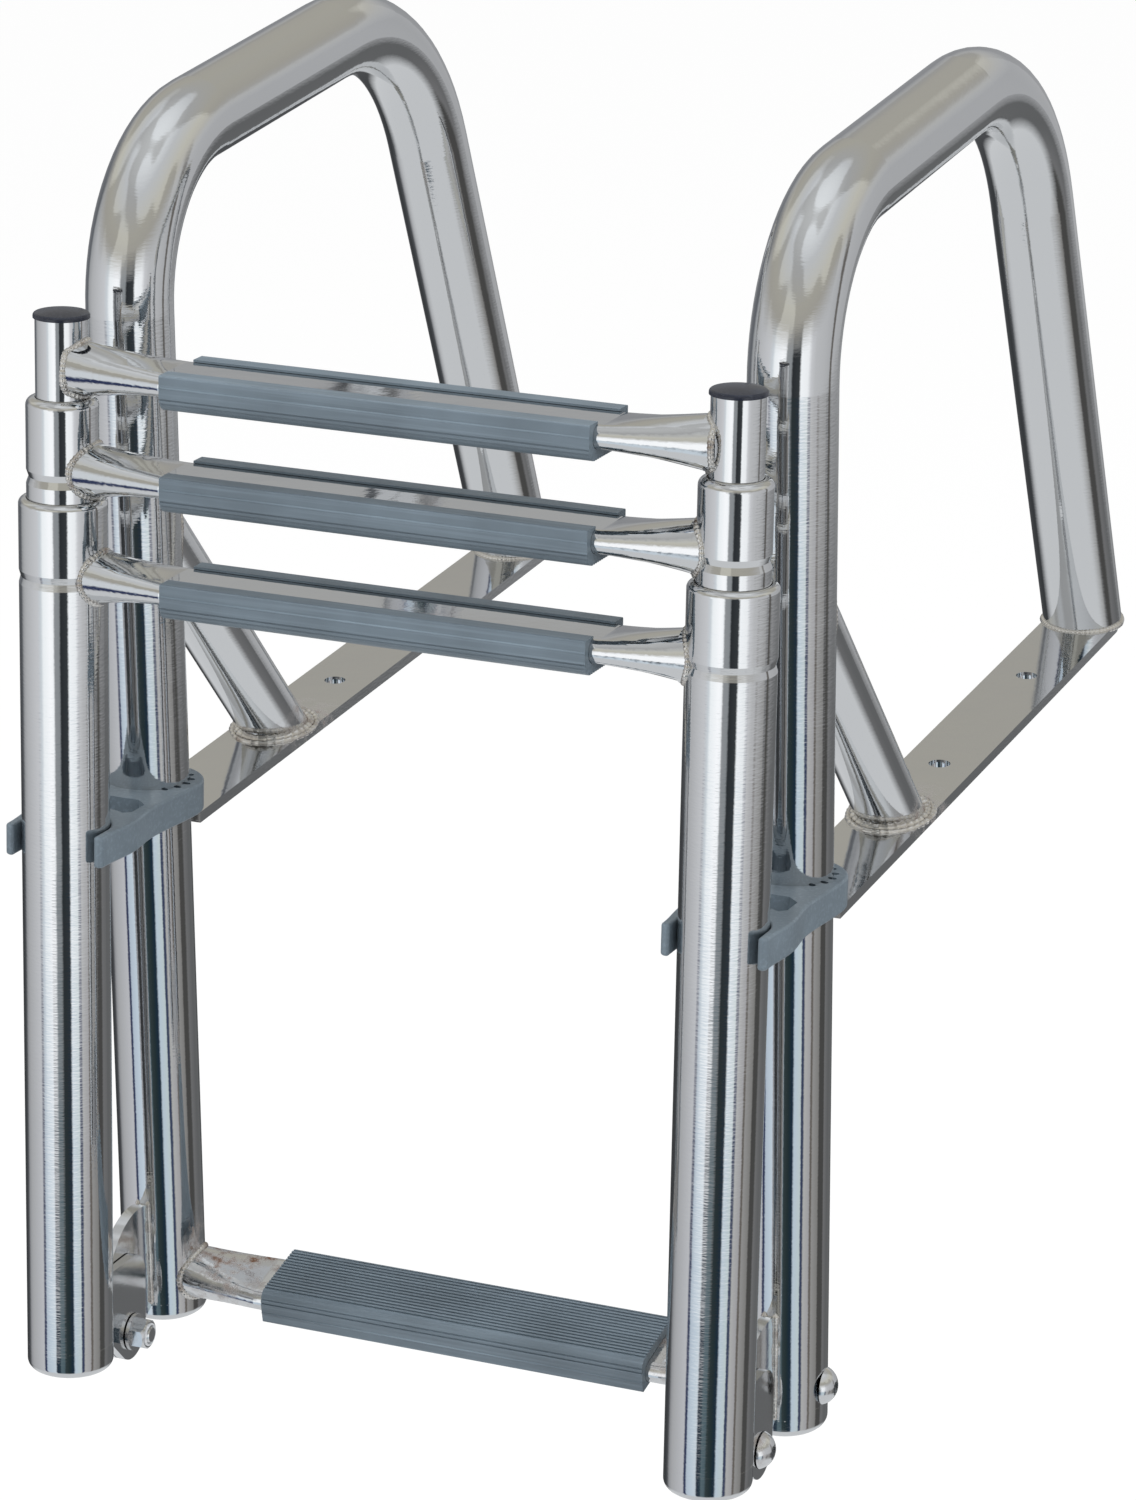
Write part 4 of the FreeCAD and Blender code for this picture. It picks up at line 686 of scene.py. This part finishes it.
class LADDER_OT_welds(bpy.types.Operator):
    """Lay the weld beads of the rungs, braces, legs, bars, step and hinge plates"""
    bl_idname = "ladder.welds"
    bl_label = "Welds"

    def execute(self, context):
        finish, sizes = context.scene.ladder_finish, context.scene.ladder_sizes
        metal = weld_metal("brushed_stainless_weld", finish)
        size, ripple = sizes.bead, sizes.ripple
        for number, (rung, (tube, body)) in enumerate(RUNG_BODIES.items()):
            for side, way in SIDES.items():
                origin = middle(rung)
                origin[0] = middle(side + "_" + tube)[0]
                path = rung_end(sizes, half_wide(side + "_" + tube))
                skin = laid(path, origin, size, ripple, number + way, True, way, LADDER_BACK, LADDER_UP)
                add_piece("%s_%s_weld" % (side, rung), [skin], body, metal)
        bar_low, bar_high = node_box("left_foot_bar")
        bar_top, bar_half = bar_high[2], (bar_high[0] - bar_low[0]) / 2
        for seed, (side, way) in enumerate(SIDES.items()):
            axis = rail_axis(side)
            bar_axis = axis + bar_top * UP
            radius, brace_radius = half_wide(side + "_rail"), half_wide(side + "_brace")
            leg_y = node_box(side + "_foot_bar")[1][1] - bar_half - axis[1]
            step = middle("fixed_step")
            step[0] = axis[0]
            thick_foot = brace_end(sizes, brace_radius, top=FOOT_BEAD_UP, out=FOOT_BEAD_OUT)
            rim_foot = brace_end(sizes, brace_radius, out=sizes.rim_gap)
            leg = oval(radius, radius / math.cos(sizes.leg_lean), leg_y, bar_top)
            skins = [
                laid(brace_end(sizes, brace_radius, radius), bar_axis, size, ripple, seed),
                laid(thick_foot, bar_axis, sizes.thick_bead, 2 * ripple, seed + 1),
                laid(rim_foot, bar_axis, sizes.rim_bead, 2 * ripple, seed + 2),
                laid(leg, axis, size, ripple, seed + 3),
                laid(cope_arc(radius, sizes.cope_half, bar_top), axis, size, ripple, seed, False),
                laid(cope_arc(radius, sizes.cope_half, 0.0), axis, size, ripple, seed + 1, False),
                laid(rung_end(sizes, radius, sizes.step_tip), step, size, ripple, seed + 4, True, way),
            ]
            gusset_top = node_box(side + "_gusset")[1][2]
            heel = node_box(side + "_rail")[0][2] + sizes.gusset_heel
            for x in (-half_wide(side + "_gusset"), half_wide(side + "_gusset")):
                skins.append(laid(plate_line(radius, x, heel, gusset_top, -1), axis, size, ripple, seed, False))
            add_piece(side + "_frame_welds", skins, "frame", metal)
            bracket = plate_frame(half_wide(side + "_outer_tube"), half_wide(side + "_hinge_bracket"),
                                  sizes.bracket_low, sizes.bracket_high)
            skin = laid(bracket, ladder_foot(sizes, side), size, ripple, seed + 5, back=LADDER_BACK, up=LADDER_UP)
            add_piece(side + "_bracket_weld", [skin], "outer_section", metal)
        return {"FINISHED"}


# Where the flat bottom of a tube's end starts, as a share of its radius
CUP_HUB = 0.4


def cup_profile(radius, rounding, high, wall):
    """A flat-bottomed cup, along its bottom, up its side and back inside.

    It rounds the corner by (r * sin(t), r * (1 - cos(t))), with the wall less of r on the inside.
    """
    turn = np.linspace(0, np.pi / 2, ROUND_POINTS)
    out_r = np.concatenate([[CUP_HUB * radius], radius - rounding + rounding * np.sin(turn), [radius]])
    out_h = np.concatenate([[0.0], rounding * (1 - np.cos(turn)), [high]])
    inside = rounding - wall
    in_r = np.concatenate([[radius - wall], radius - rounding + inside * np.cos(turn), [CUP_HUB * radius]])
    in_h = np.concatenate([[high], rounding - inside * np.sin(turn), [wall]])
    return np.concatenate([out_r, in_r]), np.concatenate([out_h, in_h])


class LADDER_OT_tube_ends(bpy.types.Operator):
    """Close the lower ends of the rails and outer tubes with flat welded ends"""
    bl_idname = "ladder.tube_ends"
    bl_label = "Tube ends"

    def execute(self, context):
        finish, sizes = context.scene.ladder_finish, context.scene.ladder_sizes
        metal = polished_steel("polished_stainless_tube_end", finish, 0.06)
        for side in SIDES:
            rail = rail_axis(side)
            rail[2] = node_box(side + "_rail")[0][2]
            tube = ladder_foot(sizes, side)
            tube = tube + reach_along(side + "_outer_tube", LADDER_UP, tube)[0] * LADDER_UP
            for name, centre, axis, body, radius in (
                    ("rail", rail, UP, "frame", half_wide(side + "_rail")),
                    ("outer", tube, LADDER_UP, "outer_section", half_wide(side + "_outer_tube"))):
                reach, height = cup_profile(radius + SKIN, sizes.end_round, sizes.end_high, sizes.end_wall)
                skin = turned(reach, height, centre - SKIN * axis, axis, (0.0, sizes.end_wall))
                add_piece("%s_%s_end" % (side, name), [skin], body, metal, SHARP)
        return {"FINISHED"}


# A bolt's small measures: flat ring round the socket's corners, fall from the dome to the socket's edge, and where
# the socket's floor starts as a share of its wall; length of the thread, run-in before it, plain end after it, and
# points to a turn; and how much thinner the bolt's tip is
SOCKET_RING, SOCKET_FALL, SOCKET_HUB = 0.2 * MM, 0.1 * MM, 0.5
THREAD_LONG, THREAD_RUN_IN, THREAD_RUN_OUT, THREAD_STEPS = 6 * MM, 0.2 * MM, 0.5 * MM, 6
TIP_THINNER = 0.8 * MM


def bolt_profile(sizes, length):
    """A domed bolt with a hexagon socket and a thread, as radius_ij and height_j from the top of the head.

    The dome is crown - sqrt(crown * crown - r * r), the socket's wall is half its flats / cos(angle in its
    sixth), and the thread's radius falls by its depth twice the share of a turn from its crest.
    """
    turn = all_round(TURN_POINTS)[:, None]
    head, shank = sizes.head_dia / 2, sizes.shank_dia / 2
    hexagon = sizes.socket_flats / 2 / np.cos(turn % (np.pi / 3) - np.pi / 6)
    crown = (head * head + sizes.head_high ** 2) / (2 * sizes.head_high)
    rim = sizes.socket_flats / math.sqrt(3) + SOCKET_RING
    dome = np.linspace(rim, head, ROUND_POINTS)
    tail = np.arange(length - THREAD_LONG, length - THREAD_RUN_OUT, sizes.thread_pitch / THREAD_STEPS)
    phase = (tail / sizes.thread_pitch - turn / (2 * np.pi)) % 1.0
    thread = shank - sizes.thread_deep * np.abs(2 * phase - 1)
    lip = crown - math.sqrt(crown * crown - rim * rim)
    columns = [hexagon * SOCKET_HUB, hexagon, hexagon, *(dome + 0 * turn).T[..., None],
               np.full_like(turn, shank), np.full_like(turn, shank), *thread.T[..., None],
               np.full_like(turn, shank - TIP_THINNER)]
    heights = [sizes.socket_deep, sizes.socket_deep, lip + SOCKET_FALL,
               *(crown - np.sqrt(crown * crown - dome * dome)),
               sizes.head_high, length - THREAD_LONG - THREAD_RUN_IN, *tail, length]
    return np.hstack(columns), np.array(heights), (sizes.socket_deep, length)


class LADDER_OT_bolts(bpy.types.Operator):
    """Cut the sockets and threads of the hinge bolts and step bolts"""
    bl_idname = "ladder.bolts"
    bl_label = "Bolts"

    def execute(self, context):
        finish, sizes = context.scene.ladder_finish, context.scene.ladder_sizes
        heads = stain_spots(HEAD_STAIN, PIN[1], PIN[2])
        metal = polished_steel("polished_stainless_bolt", finish, 0.1, heads, wave=0.1)
        for side, way in SIDES.items():
            for bolt in ("hinge_bolt", "step_bolt"):
                node = "%s_%s" % (side, bolt)
                low, high = node_box(node)
                top = middle(node)
                top[0] = low[0] if way > 0 else high[0]
                radius, height, poles = bolt_profile(sizes, high[0] - low[0])
                skin = turned(radius, height, top, way * ACROSS, poles)
                piece = add_piece(node + "_cut", [skin], "frame", metal, SHARP)
                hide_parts(node)
        return {"FINISHED"}


# Points round a clip's bore with its notches, down its side, and over its rounded edge
BORE_POINTS, SIDE_POINTS, EDGE_POINTS = 720, 60, 6


def eased(stations, values, at):
    """Through values at stations, each step half a cosine wave."""
    index = np.clip(np.searchsorted(stations, at, side="right") - 1, 0, len(stations) - 2)
    stations, values = np.asarray(stations), np.asarray(values)
    share = (at - stations[index]) / (stations[index + 1] - stations[index])
    return values[index] + (values[index + 1] - values[index]) * (1 - np.cos(np.pi * share)) / 2


def arc(x, y, radius, start, end, count):
    """(x + r * cos(a), y + r * sin(a)) for a from start to end, in degrees."""
    turn = np.radians(np.linspace(start, end, count))
    return np.stack([x + radius * np.cos(turn), y + radius * np.sin(turn)], axis=1)


def clip_rings(sizes, rail_radius, tube_radius, tube_back):
    """A clip's outline, bore and window in its own plane, the rail's axis at 0 and the tube's at -tube_back.

    The outline runs round the ring, down the left side as a half width eased from ring to waist to arm to tip,
    round the left tip, up into the seat, and back as its mirror image. The bore is the rail's circle, pushed out
    to n * cos(d) + sqrt(r * r - (n * sin(d))^2) at an angle d from a notch at distance n. The window is a
    rectangle with cut corners, whose front follows a circle round the tube's axis.
    """
    seat = tube_radius + sizes.clip_play
    tip = -tube_back - sizes.clip_reach
    corner, mouth = sizes.clip_tip_round, sizes.clip_mouth_round
    down = np.linspace(0, -(tip + corner), SIDE_POINTS, endpoint=False)[1:]
    half = eased([0, sizes.clip_waist_at, tube_back - sizes.clip_swell, -(tip + corner)],
                 [sizes.clip_ring, sizes.clip_waist, sizes.clip_arm, sizes.clip_tip], down)
    straight = np.linspace(tip + mouth, -tube_back, EDGE_POINTS + 2)[1:-1]
    left = np.vstack([
        arc(0, 0, sizes.clip_ring, 90, 180, count=30),
        np.stack([-half, -down], axis=1),
        arc(corner - sizes.clip_tip, tip + corner, corner, 180, 270, count=10),
        arc(-seat - mouth, tip + mouth, mouth, 270, 360, count=8),
        np.stack([np.full(EDGE_POINTS, -seat), straight], axis=1),
        arc(0, -tube_back, seat, 180, 90, count=30)])
    right = left[::-1] * np.array((-1.0, 1.0))
    outline = np.vstack([left, right[1:-1]])
    turn = all_round(BORE_POINTS)
    first, step = -sizes.notch_start, sizes.notch_step
    from_notch = (turn - first + step / 2) % step - step / 2
    level = (turn - first + step / 2) % (2 * np.pi)
    notched = level < np.pi + 2 * sizes.notch_start + step
    centre = rail_radius + sizes.notch_out
    inside = sizes.notch_radius ** 2 - (centre * np.sin(from_notch)) ** 2
    pushed = centre * np.cos(from_notch) + np.sqrt(np.maximum(inside, 0))
    reach = np.maximum(np.where(notched & (inside > 0), pushed, 0), rail_radius)
    bore = np.stack([reach * np.cos(turn), reach * np.sin(turn)], axis=1)
    front = seat + sizes.window_wall
    nip = sizes.window_half - sizes.window_nip
    low = math.sqrt(front * front - nip * nip) - tube_back
    half_arc = math.degrees(math.asin(nip / front))
    wide, rear, cut = sizes.window_half, -sizes.window_rear, sizes.window_cut
    window = np.vstack([
        [(wide - cut, rear), (cut - wide, rear), (-wide, rear - cut), (-wide, low + sizes.window_nip)],
        arc(0, -tube_back, front, 90 + half_arc, 90 - half_arc, count=16),
        [(wide, low + sizes.window_nip), (wide, rear - cut)]])
    return outline, bore, window


def slab(outline, holes, high, edge):
    """A flat plate with rounded outer edges and holes.

    The side is a profile carried round the outline: inset by edge * (1 - cos(t)) along the outline's normal, at
    height high / 2 - edge * (1 - sin(t)) on both faces. The faces are the inset outline less the holes, cut
    into triangles.
    """
    way = np.roll(outline, -1, axis=0) - np.roll(outline, 1, axis=0)
    normal = np.stack([way[:, 1], -way[:, 0]], axis=1)
    normal = normal / np.linalg.norm(normal, axis=1, keepdims=True)
    turn = np.linspace(0, np.pi / 2, EDGE_POINTS)
    inset = edge * (1 - np.cos(turn))
    level = high / 2 - edge * (1 - np.sin(turn))
    inset = np.concatenate([inset[::-1], inset])
    level = np.concatenate([level[::-1], -level])
    columns = len(level)
    flat = outline[:, None] - normal[:, None] * inset[None, :, None]
    side = np.concatenate([flat, np.broadcast_to(level[None, :, None], flat.shape[:2] + (1,))], axis=2)
    points = [side.reshape(-1, 3)]
    blocks = [grid_faces(len(outline), columns, True, False)[:, [0, 3, 2, 1]]]
    tops = [np.arange(len(outline)) * columns]
    bottoms = [tops[0] + columns - 1]
    start = len(points[0])
    for hole in holes:
        count = len(hole)
        points += [np.column_stack([hole, np.full(count, z)]) for z in (high / 2, -high / 2)]
        index = np.arange(count)
        ahead = np.roll(index, -1)
        blocks.append(np.stack([index, ahead, ahead + count, index + count], axis=1) + start)
        tops.append(index + start)
        bottoms.append(index + count + start)
        start += 2 * count
    points = np.vstack(points)
    corners = np.array(tessellate_polygon([[Vector(point) for point in points[ring]] for ring in tops]))
    triangles, below = np.concatenate(tops)[corners], np.concatenate(bottoms)[corners]
    # Turn the triangles so that the upper ones face up and the lower ones down
    a, b, c = (points[triangles[:, k]][:, :2] for k in range(3))
    down = (b[:, 0] - a[:, 0]) * (c[:, 1] - a[:, 1]) - (b[:, 1] - a[:, 1]) * (c[:, 0] - a[:, 0]) < 0
    triangles[down] = triangles[down][:, ::-1]
    below[~down] = below[~down][:, ::-1]
    return points, blocks + [triangles, below]


class LADDER_OT_clips(bpy.types.Operator):
    """Mould the two clips that hold the stowed ladder"""
    bl_idname = "ladder.clips"
    bl_label = "Clips"

    def execute(self, context):
        finish, sizes = context.scene.ladder_finish, context.scene.ladder_sizes
        plastic = moulded_plastic("moulded_clip_nylon", finish.clip, rough=0.36)
        tilt = sizes.clip_tilt
        ahead = np.array((0.0, math.cos(tilt), -math.sin(tilt)))
        normal = np.array((0.0, math.sin(tilt), math.cos(tilt)))
        for side in SIDES:
            origin = rail_axis(side) + sizes.clip_level * UP
            foot = ladder_foot(sizes, side)
            up_tube = (origin[2] - foot[2]) / LADDER_UP[2]
            tube_back = (origin[1] - foot[1] - up_tube * LADDER_UP[1]) / math.cos(tilt)
            outline, bore, window = clip_rings(
                sizes, half_wide(side + "_rail"), half_wide(side + "_outer_tube"), tube_back)
            points, blocks = slab(outline, (bore, window), sizes.clip_high, sizes.clip_edge)
            skin = (put(points, origin, 1, ahead, normal), blocks)
            piece = add_piece(side + "_clip_moulding", [skin], "frame", plastic, SHARP)
            weighted = piece.modifiers.new("flat_faces", "WEIGHTED_NORMAL")
            weighted.keep_sharp = True
            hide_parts(side + "_clip")
        return {"FINISHED"}


class LADDER_OT_nut_inserts(bpy.types.Operator):
    """Put the locking rings on the hinge nuts"""
    bl_idname = "ladder.nut_inserts"
    bl_label = "Nut inserts"

    def execute(self, context):
        finish, sizes = context.scene.ladder_finish, context.scene.ladder_sizes
        ring = moulded_plastic("moulded_nylon_ring", finish.insert, rough=0.45)
        bore, rim, proud = sizes.insert_bore, sizes.insert_rim, sizes.insert_proud
        turn = all_round(ROUND_POINTS)
        radius, height = (bore + rim) / 2 + (rim - bore) / 2 * np.cos(turn), proud * np.sin(turn)
        for side, way in SIDES.items():
            low, high = node_box(side + "_hinge_nut")
            face = np.array((high[0] if way > 0 else low[0], PIN[1], PIN[2]))
            skin = turned(radius, height, face, way * ACROSS)
            add_piece(side + "_nut_insert", [skin], "frame", ring)
        return {"FINISHED"}


# How much paler than its tread a mould line is painted: a painted highlight on the ridge, not a colour of the
# plastic
LINE_HIGHLIGHT_GAIN = 1.35


class LADDER_OT_mould_lines(bpy.types.Operator):
    """Draw the fine ridges that the mould left along the treads, coloured paler as a painted highlight"""
    bl_idname = "ladder.mould_lines"
    bl_label = "Mould lines"

    def execute(self, context):
        finish, sizes = context.scene.ladder_finish, context.scene.ladder_sizes
        # The ridges are real, but their paler colour is a painted highlight along them
        pale = tuple(min(1, c * LINE_HIGHLIGHT_GAIN) for c in finish.tread)
        material = moulded_plastic("tread_line_painted_highlight", pale, streak=TREAD_STREAK)
        treads = [(rung + "_tread", body, rung, LADDER_BACK, LADDER_UP, 1)
                  for rung, (_, body) in RUNG_BODIES.items()]
        tip = sizes.step_tip
        tipped_back = np.array((0.0, math.cos(tip), math.sin(tip)))
        tipped_up = np.array((0.0, -math.sin(tip), math.cos(tip)))
        treads.append(("fixed_step_tread", "frame", "fixed_step", tipped_back, tipped_up, -1))
        for name, body, carrier, back, up, way in treads:
            low, high = node_box(name)
            nearest, farthest = reach_along(name, back)
            half_deep = (farthest - nearest) / 2
            axis = middle(carrier)
            skins = []
            for side in (-1, 1):
                centre = axis + side * half_deep * back + way * sizes.line_level * up
                path = centre + np.array(((low[0] - axis[0], 0, 0), (high[0] - axis[0], 0, 0)))
                away = np.tile(side * back, (2, 1))
                skins.append(carried(path, away, sizes.line_half, sizes.line_proud, closed=False))
            add_piece(name + "_lines", skins, body, material)
        return {"FINISHED"}


# The studio

def camera_matrix(view):
    """The camera's turn from yaw, pitch and roll."""
    ahead = Vector((-math.sin(view.yaw) * math.cos(view.pitch),
                    math.cos(view.yaw) * math.cos(view.pitch), -math.sin(view.pitch)))
    right = Vector((math.cos(view.yaw), math.sin(view.yaw), 0))
    up = right.cross(ahead)
    right_rolled = right * math.cos(view.roll) + up * math.sin(view.roll)
    up_rolled = up * math.cos(view.roll) - right * math.sin(view.roll)
    return Matrix((right_rolled, up_rolled, -ahead)).transposed()


# The room that the metal mirrors: a wall's colour at each angle round from straight ahead, in degrees, with one
# fading into the next. HIGH is seen level and LOW downwards, where the walls meet the floor.
ROOM_HIGH = (
    (-180, "#8f9092"), (-126, "#64666a"), (-112, "#5a5d62"), (-104, "#949698"), (-88, "#a9aaac"),
    (-44, "#c0c1c4"), (-34, "#c6ccd1"), (-28, "#e8ecee"), (-8, "#f6f7f9"), (-1, "#f0f2f4"),
    (3, "#8a8d90"), (14, "#84888b"), (18, "#2a2d30"), (35, "#34383b"), (39, "#eef1f3"),
    (56, "#e8eaec"), (64, "#c2c3c6"), (75, "#b4b5b7"), (100, "#aeafb1"), (118, "#a6a7a9"),
    (121, "#5f5c59"), (125, "#5f5c59"), (128, "#a9aaac"), (165, "#9c9d9f"))
ROOM_LOW = (
    (-180, "#48494b"), (-122, "#343638"), (-108, "#47494c"), (-97, "#8e8f92"), (-85, "#a1a2a4"),
    (-46, "#b5b6ba"), (-43, "#2b3350"), (-39, "#2b3350"), (-36, "#adb9c6"), (-22, "#b8c5d0"),
    (-12, "#c0cad2"), (-9, "#222c3a"), (0, "#2b3a44"), (2, "#52636a"), (11, "#4b5c63"),
    (14, "#303a3c"), (24, "#243033"), (35, "#18293a"), (39, "#b2c0cc"), (56, "#b8c4c6"),
    (58, "#2f3852"), (63, "#3a4258"), (66, "#a9a9a8"), (82, "#9d9c9e"), (85, "#5d5853"),
    (88, "#5d5853"), (91, "#8d8c8b"), (110, "#7c7b79"), (114, "#454443"), (128, "#444443"),
    (134, "#6a6a6b"), (152, "#5b5c5d"))

# The ceiling's colour at each share of the way up, the shapes on it, and the floor
CEILING = ((0.05, "#b8babc"), (0.3, "#afada6"), (0.5, "#b7b5ab"), (0.8, "#b6b8ba"), (1.0, "#d5d8da"))
CEILING_SHAPES, FLOOR_SEEN = "#67635c", "#bcbec0"
# Between which shares of the way up one of them fades into the next
LOW_FADE, CEILING_FADE, FLOOR_FADE = (-0.25, -0.35), (0.08, 0.36), (-0.53, -0.68)
MIRRORED_STRENGTH, LIGHT_STRENGTH, WHITE_STRENGTH = 1.4, 0.75, 1.0


def studio_world():
    """White to the camera; to metal, a pale room with a few dark and bright uprights round the ladder."""
    world = bpy.data.worlds.new("studio")
    world.use_nodes = True
    tree = world.node_tree
    tree.nodes.clear()
    bpy.context.scene.world = world
    way = add_node(tree, "TexCoord").outputs["Generated"]
    parts = add_node(tree, "SeparateXYZ", Vector=way)
    ahead = add_node(tree, "Math", {"operation": "MULTIPLY"}, i0=parts.outputs["Y"], i1=-1.0)
    turn = add_node(tree, "Math", {"operation": "ARCTAN2"}, i0=parts.outputs["X"], i1=ahead)
    share = add_node(tree, "MapRange", Value=turn, From_Min=-math.pi, From_Max=math.pi)
    high, low = (
        add_node(tree, "ValToRGB", Fac=share,
                 settings={"stops": [((degrees + 180) / 360, linear(colour)) for degrees, colour in table]})
        for table in (ROOM_HIGH, ROOM_LOW))
    ceiling = add_node(tree, "ValToRGB", {"stops": [(level, linear(colour)) for level, colour in CEILING]},
                       Fac=parts.outputs["Z"])
    shapes = add_node(tree, "TexNoise", Vector=way, Scale=2.0, Detail=0.0)
    shaded = add_node(tree, "MapRange", Value=shapes, From_Min=0.5, From_Max=0.58, To_Max=0.4)
    above = add_node(tree, "Mix", {"data_type": "RGBA"}, i0=shaded, i6=ceiling, i7=linear(CEILING_SHAPES))
    seen = high
    for (start, end), colour in ((LOW_FADE, low), (CEILING_FADE, above), (FLOOR_FADE, linear(FLOOR_SEEN))):
        fade = add_node(tree, "MapRange", Value=parts.outputs["Z"], From_Min=start, From_Max=end)
        seen = add_node(tree, "Mix", {"data_type": "RGBA"}, i0=fade, i6=seen, i7=colour)
    path = add_node(tree, "LightPath")
    mirrored = add_node(tree, "Background", Strength=MIRRORED_STRENGTH, Color=seen)
    plain = add_node(tree, "Background", Strength=LIGHT_STRENGTH, Color=(1, 1, 1))
    white = add_node(tree, "Background", Strength=WHITE_STRENGTH, Color=(1, 1, 1))
    metal = add_node(tree, "MixShader", Fac=path.outputs["Is Glossy Ray"], i1=plain, i2=mirrored)
    clear = add_node(tree, "Math", {"operation": "MAXIMUM"}, i0=path.outputs["Is Camera Ray"],
                     i1=path.outputs["Is Transmission Ray"])
    last = add_node(tree, "MixShader", Fac=clear, i1=metal, i2=white)
    add_node(tree, "OutputWorld", Surface=last)


# The floor, in metres below the foot bars and from its middle to its edge, and how strong and full its glow is
FLOOR_DROP = 1.32
FLOOR_HALF = 30.0
FLOOR_GLOW, GLOW_SHARE = 1.08, 0.75


def pale_floor():
    """A wide pale floor below the unfolded ladder's reach, white to the camera but for the shadow."""
    edges = np.array([-1.0, 1.0]) * FLOOR_HALF
    grid_x, grid_y = np.meshgrid(edges, edges)
    points = np.stack([grid_x.ravel(), grid_y.ravel(), np.full(4, -FLOOR_DROP)], axis=1)
    mesh = bpy.data.meshes.new("floor")
    mesh.from_pydata(points.tolist(), [], [(0, 1, 3, 2)])
    floor = bpy.data.objects.new("floor", mesh)
    bpy.context.scene.collection.objects.link(floor)
    material, tree = new_material("pale_floor")
    path = add_node(tree, "LightPath")
    paper = add_node(tree, "BsdfDiffuse", Color=(0.9, 0.9, 0.9))
    glow = add_node(tree, "Emission", Strength=FLOOR_GLOW, Color=(1, 1, 1))
    share = add_node(tree, "Math", {"operation": "MULTIPLY"}, i0=path.outputs["Is Camera Ray"], i1=GLOW_SHARE)
    mixed = add_node(tree, "MixShader", Fac=share, i1=paper, i2=glow)
    add_node(tree, "OutputMaterial", Surface=mixed)
    mesh.materials.append(material)
    floor.visible_glossy = False
    floor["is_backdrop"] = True


# Each lamp's place and size in metres, and its watts
LAMPS = {
    "key_lamp": ((-1.6, -1.8, 2.2), (1.2, 1.2), 40),
    "fill_lamp": ((2.2, -1.2, 1.2), (1.6, 1.6), 22),
    "top_lamp": ((0.2, 0.4, 2.8), (1.5, 1.5), 25),
}
SENSOR_WIDE = 36
VIEW_END = 100


def soft_lamp(name, place, size, watts):
    """A soft lamp aimed at the ladder's middle, which metal doesn't mirror."""
    lamp = bpy.data.lights.new(name, "AREA")
    lamp.shape = "RECTANGLE"
    lamp.size, lamp.size_y = size
    lamp.energy = watts
    obj = bpy.data.objects.new(name, lamp)
    bpy.context.scene.collection.objects.link(obj)
    obj.location = Vector(place)
    obj.visible_glossy = False
    low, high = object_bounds()
    obj.rotation_mode = "QUATERNION"
    obj.rotation_quaternion = ((low + high) / 2 - obj.location).to_track_quat("-Z", "Y")


class LADDER_OT_stage(bpy.types.Operator):
    """Set the floor, the light and the camera"""
    bl_idname = "ladder.stage"
    bl_label = "Studio"

    def execute(self, context):
        studio_world()
        pale_floor()
        for name, (place, size, watts) in LAMPS.items():
            soft_lamp(name, place, size, watts)
        view = context.scene.ladder_view
        data = bpy.data.cameras.new("camera")
        data.sensor_fit = "AUTO"
        data.sensor_width = SENSOR_WIDE
        data.lens = view.focal * SENSOR_WIDE / IMAGE_HIGH
        data.clip_end = VIEW_END
        camera = bpy.data.objects.new("camera", data)
        context.scene.collection.objects.link(camera)
        axis = rail_axis("left")
        camera.matrix_world = Matrix.Translation(
            (view.across, axis[1] - view.ahead, view.above)) @ camera_matrix(view).to_4x4()
        context.scene.camera = camera
        context.scene.view_settings.view_transform = "Standard"
        return {"FINISHED"}


class LADDER_PT_panel(bpy.types.Panel):
    """Steps that dress the ladder"""
    bl_idname = "LADDER_PT_panel"
    bl_label = "Swim ladder"
    bl_space_type = "VIEW_3D"
    bl_region_type = "UI"
    bl_category = "Ladder"

    def draw(self, context):
        for operator in OPERATORS:
            self.layout.operator(operator.bl_idname)


OPERATORS = (LADDER_OT_steel, LADDER_OT_plastic, LADDER_OT_welds, LADDER_OT_tube_ends, LADDER_OT_bolts,
             LADDER_OT_clips, LADDER_OT_nut_inserts, LADDER_OT_mould_lines, LADDER_OT_stage)
GROUPS = (LADDER_PG_finish, LADDER_PG_sizes, LADDER_PG_view)


def register():
    for item in GROUPS + OPERATORS + (LADDER_PT_panel,):
        bpy.utils.register_class(item)
    bpy.types.Scene.ladder_finish = bpy.props.PointerProperty(type=LADDER_PG_finish)
    bpy.types.Scene.ladder_sizes = bpy.props.PointerProperty(type=LADDER_PG_sizes)
    bpy.types.Scene.ladder_view = bpy.props.PointerProperty(type=LADDER_PG_view)


def unregister():
    del bpy.types.Scene.ladder_view
    del bpy.types.Scene.ladder_sizes
    del bpy.types.Scene.ladder_finish
    for item in (LADDER_PT_panel,) + OPERATORS[::-1] + GROUPS[::-1]:
        bpy.utils.unregister_class(item)


def main():
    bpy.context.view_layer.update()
    register()
    for operator in OPERATORS:
        group, name = operator.bl_idname.split(".")
        getattr(getattr(bpy.ops, group), name)()


if __name__ == "__main__":
    main()
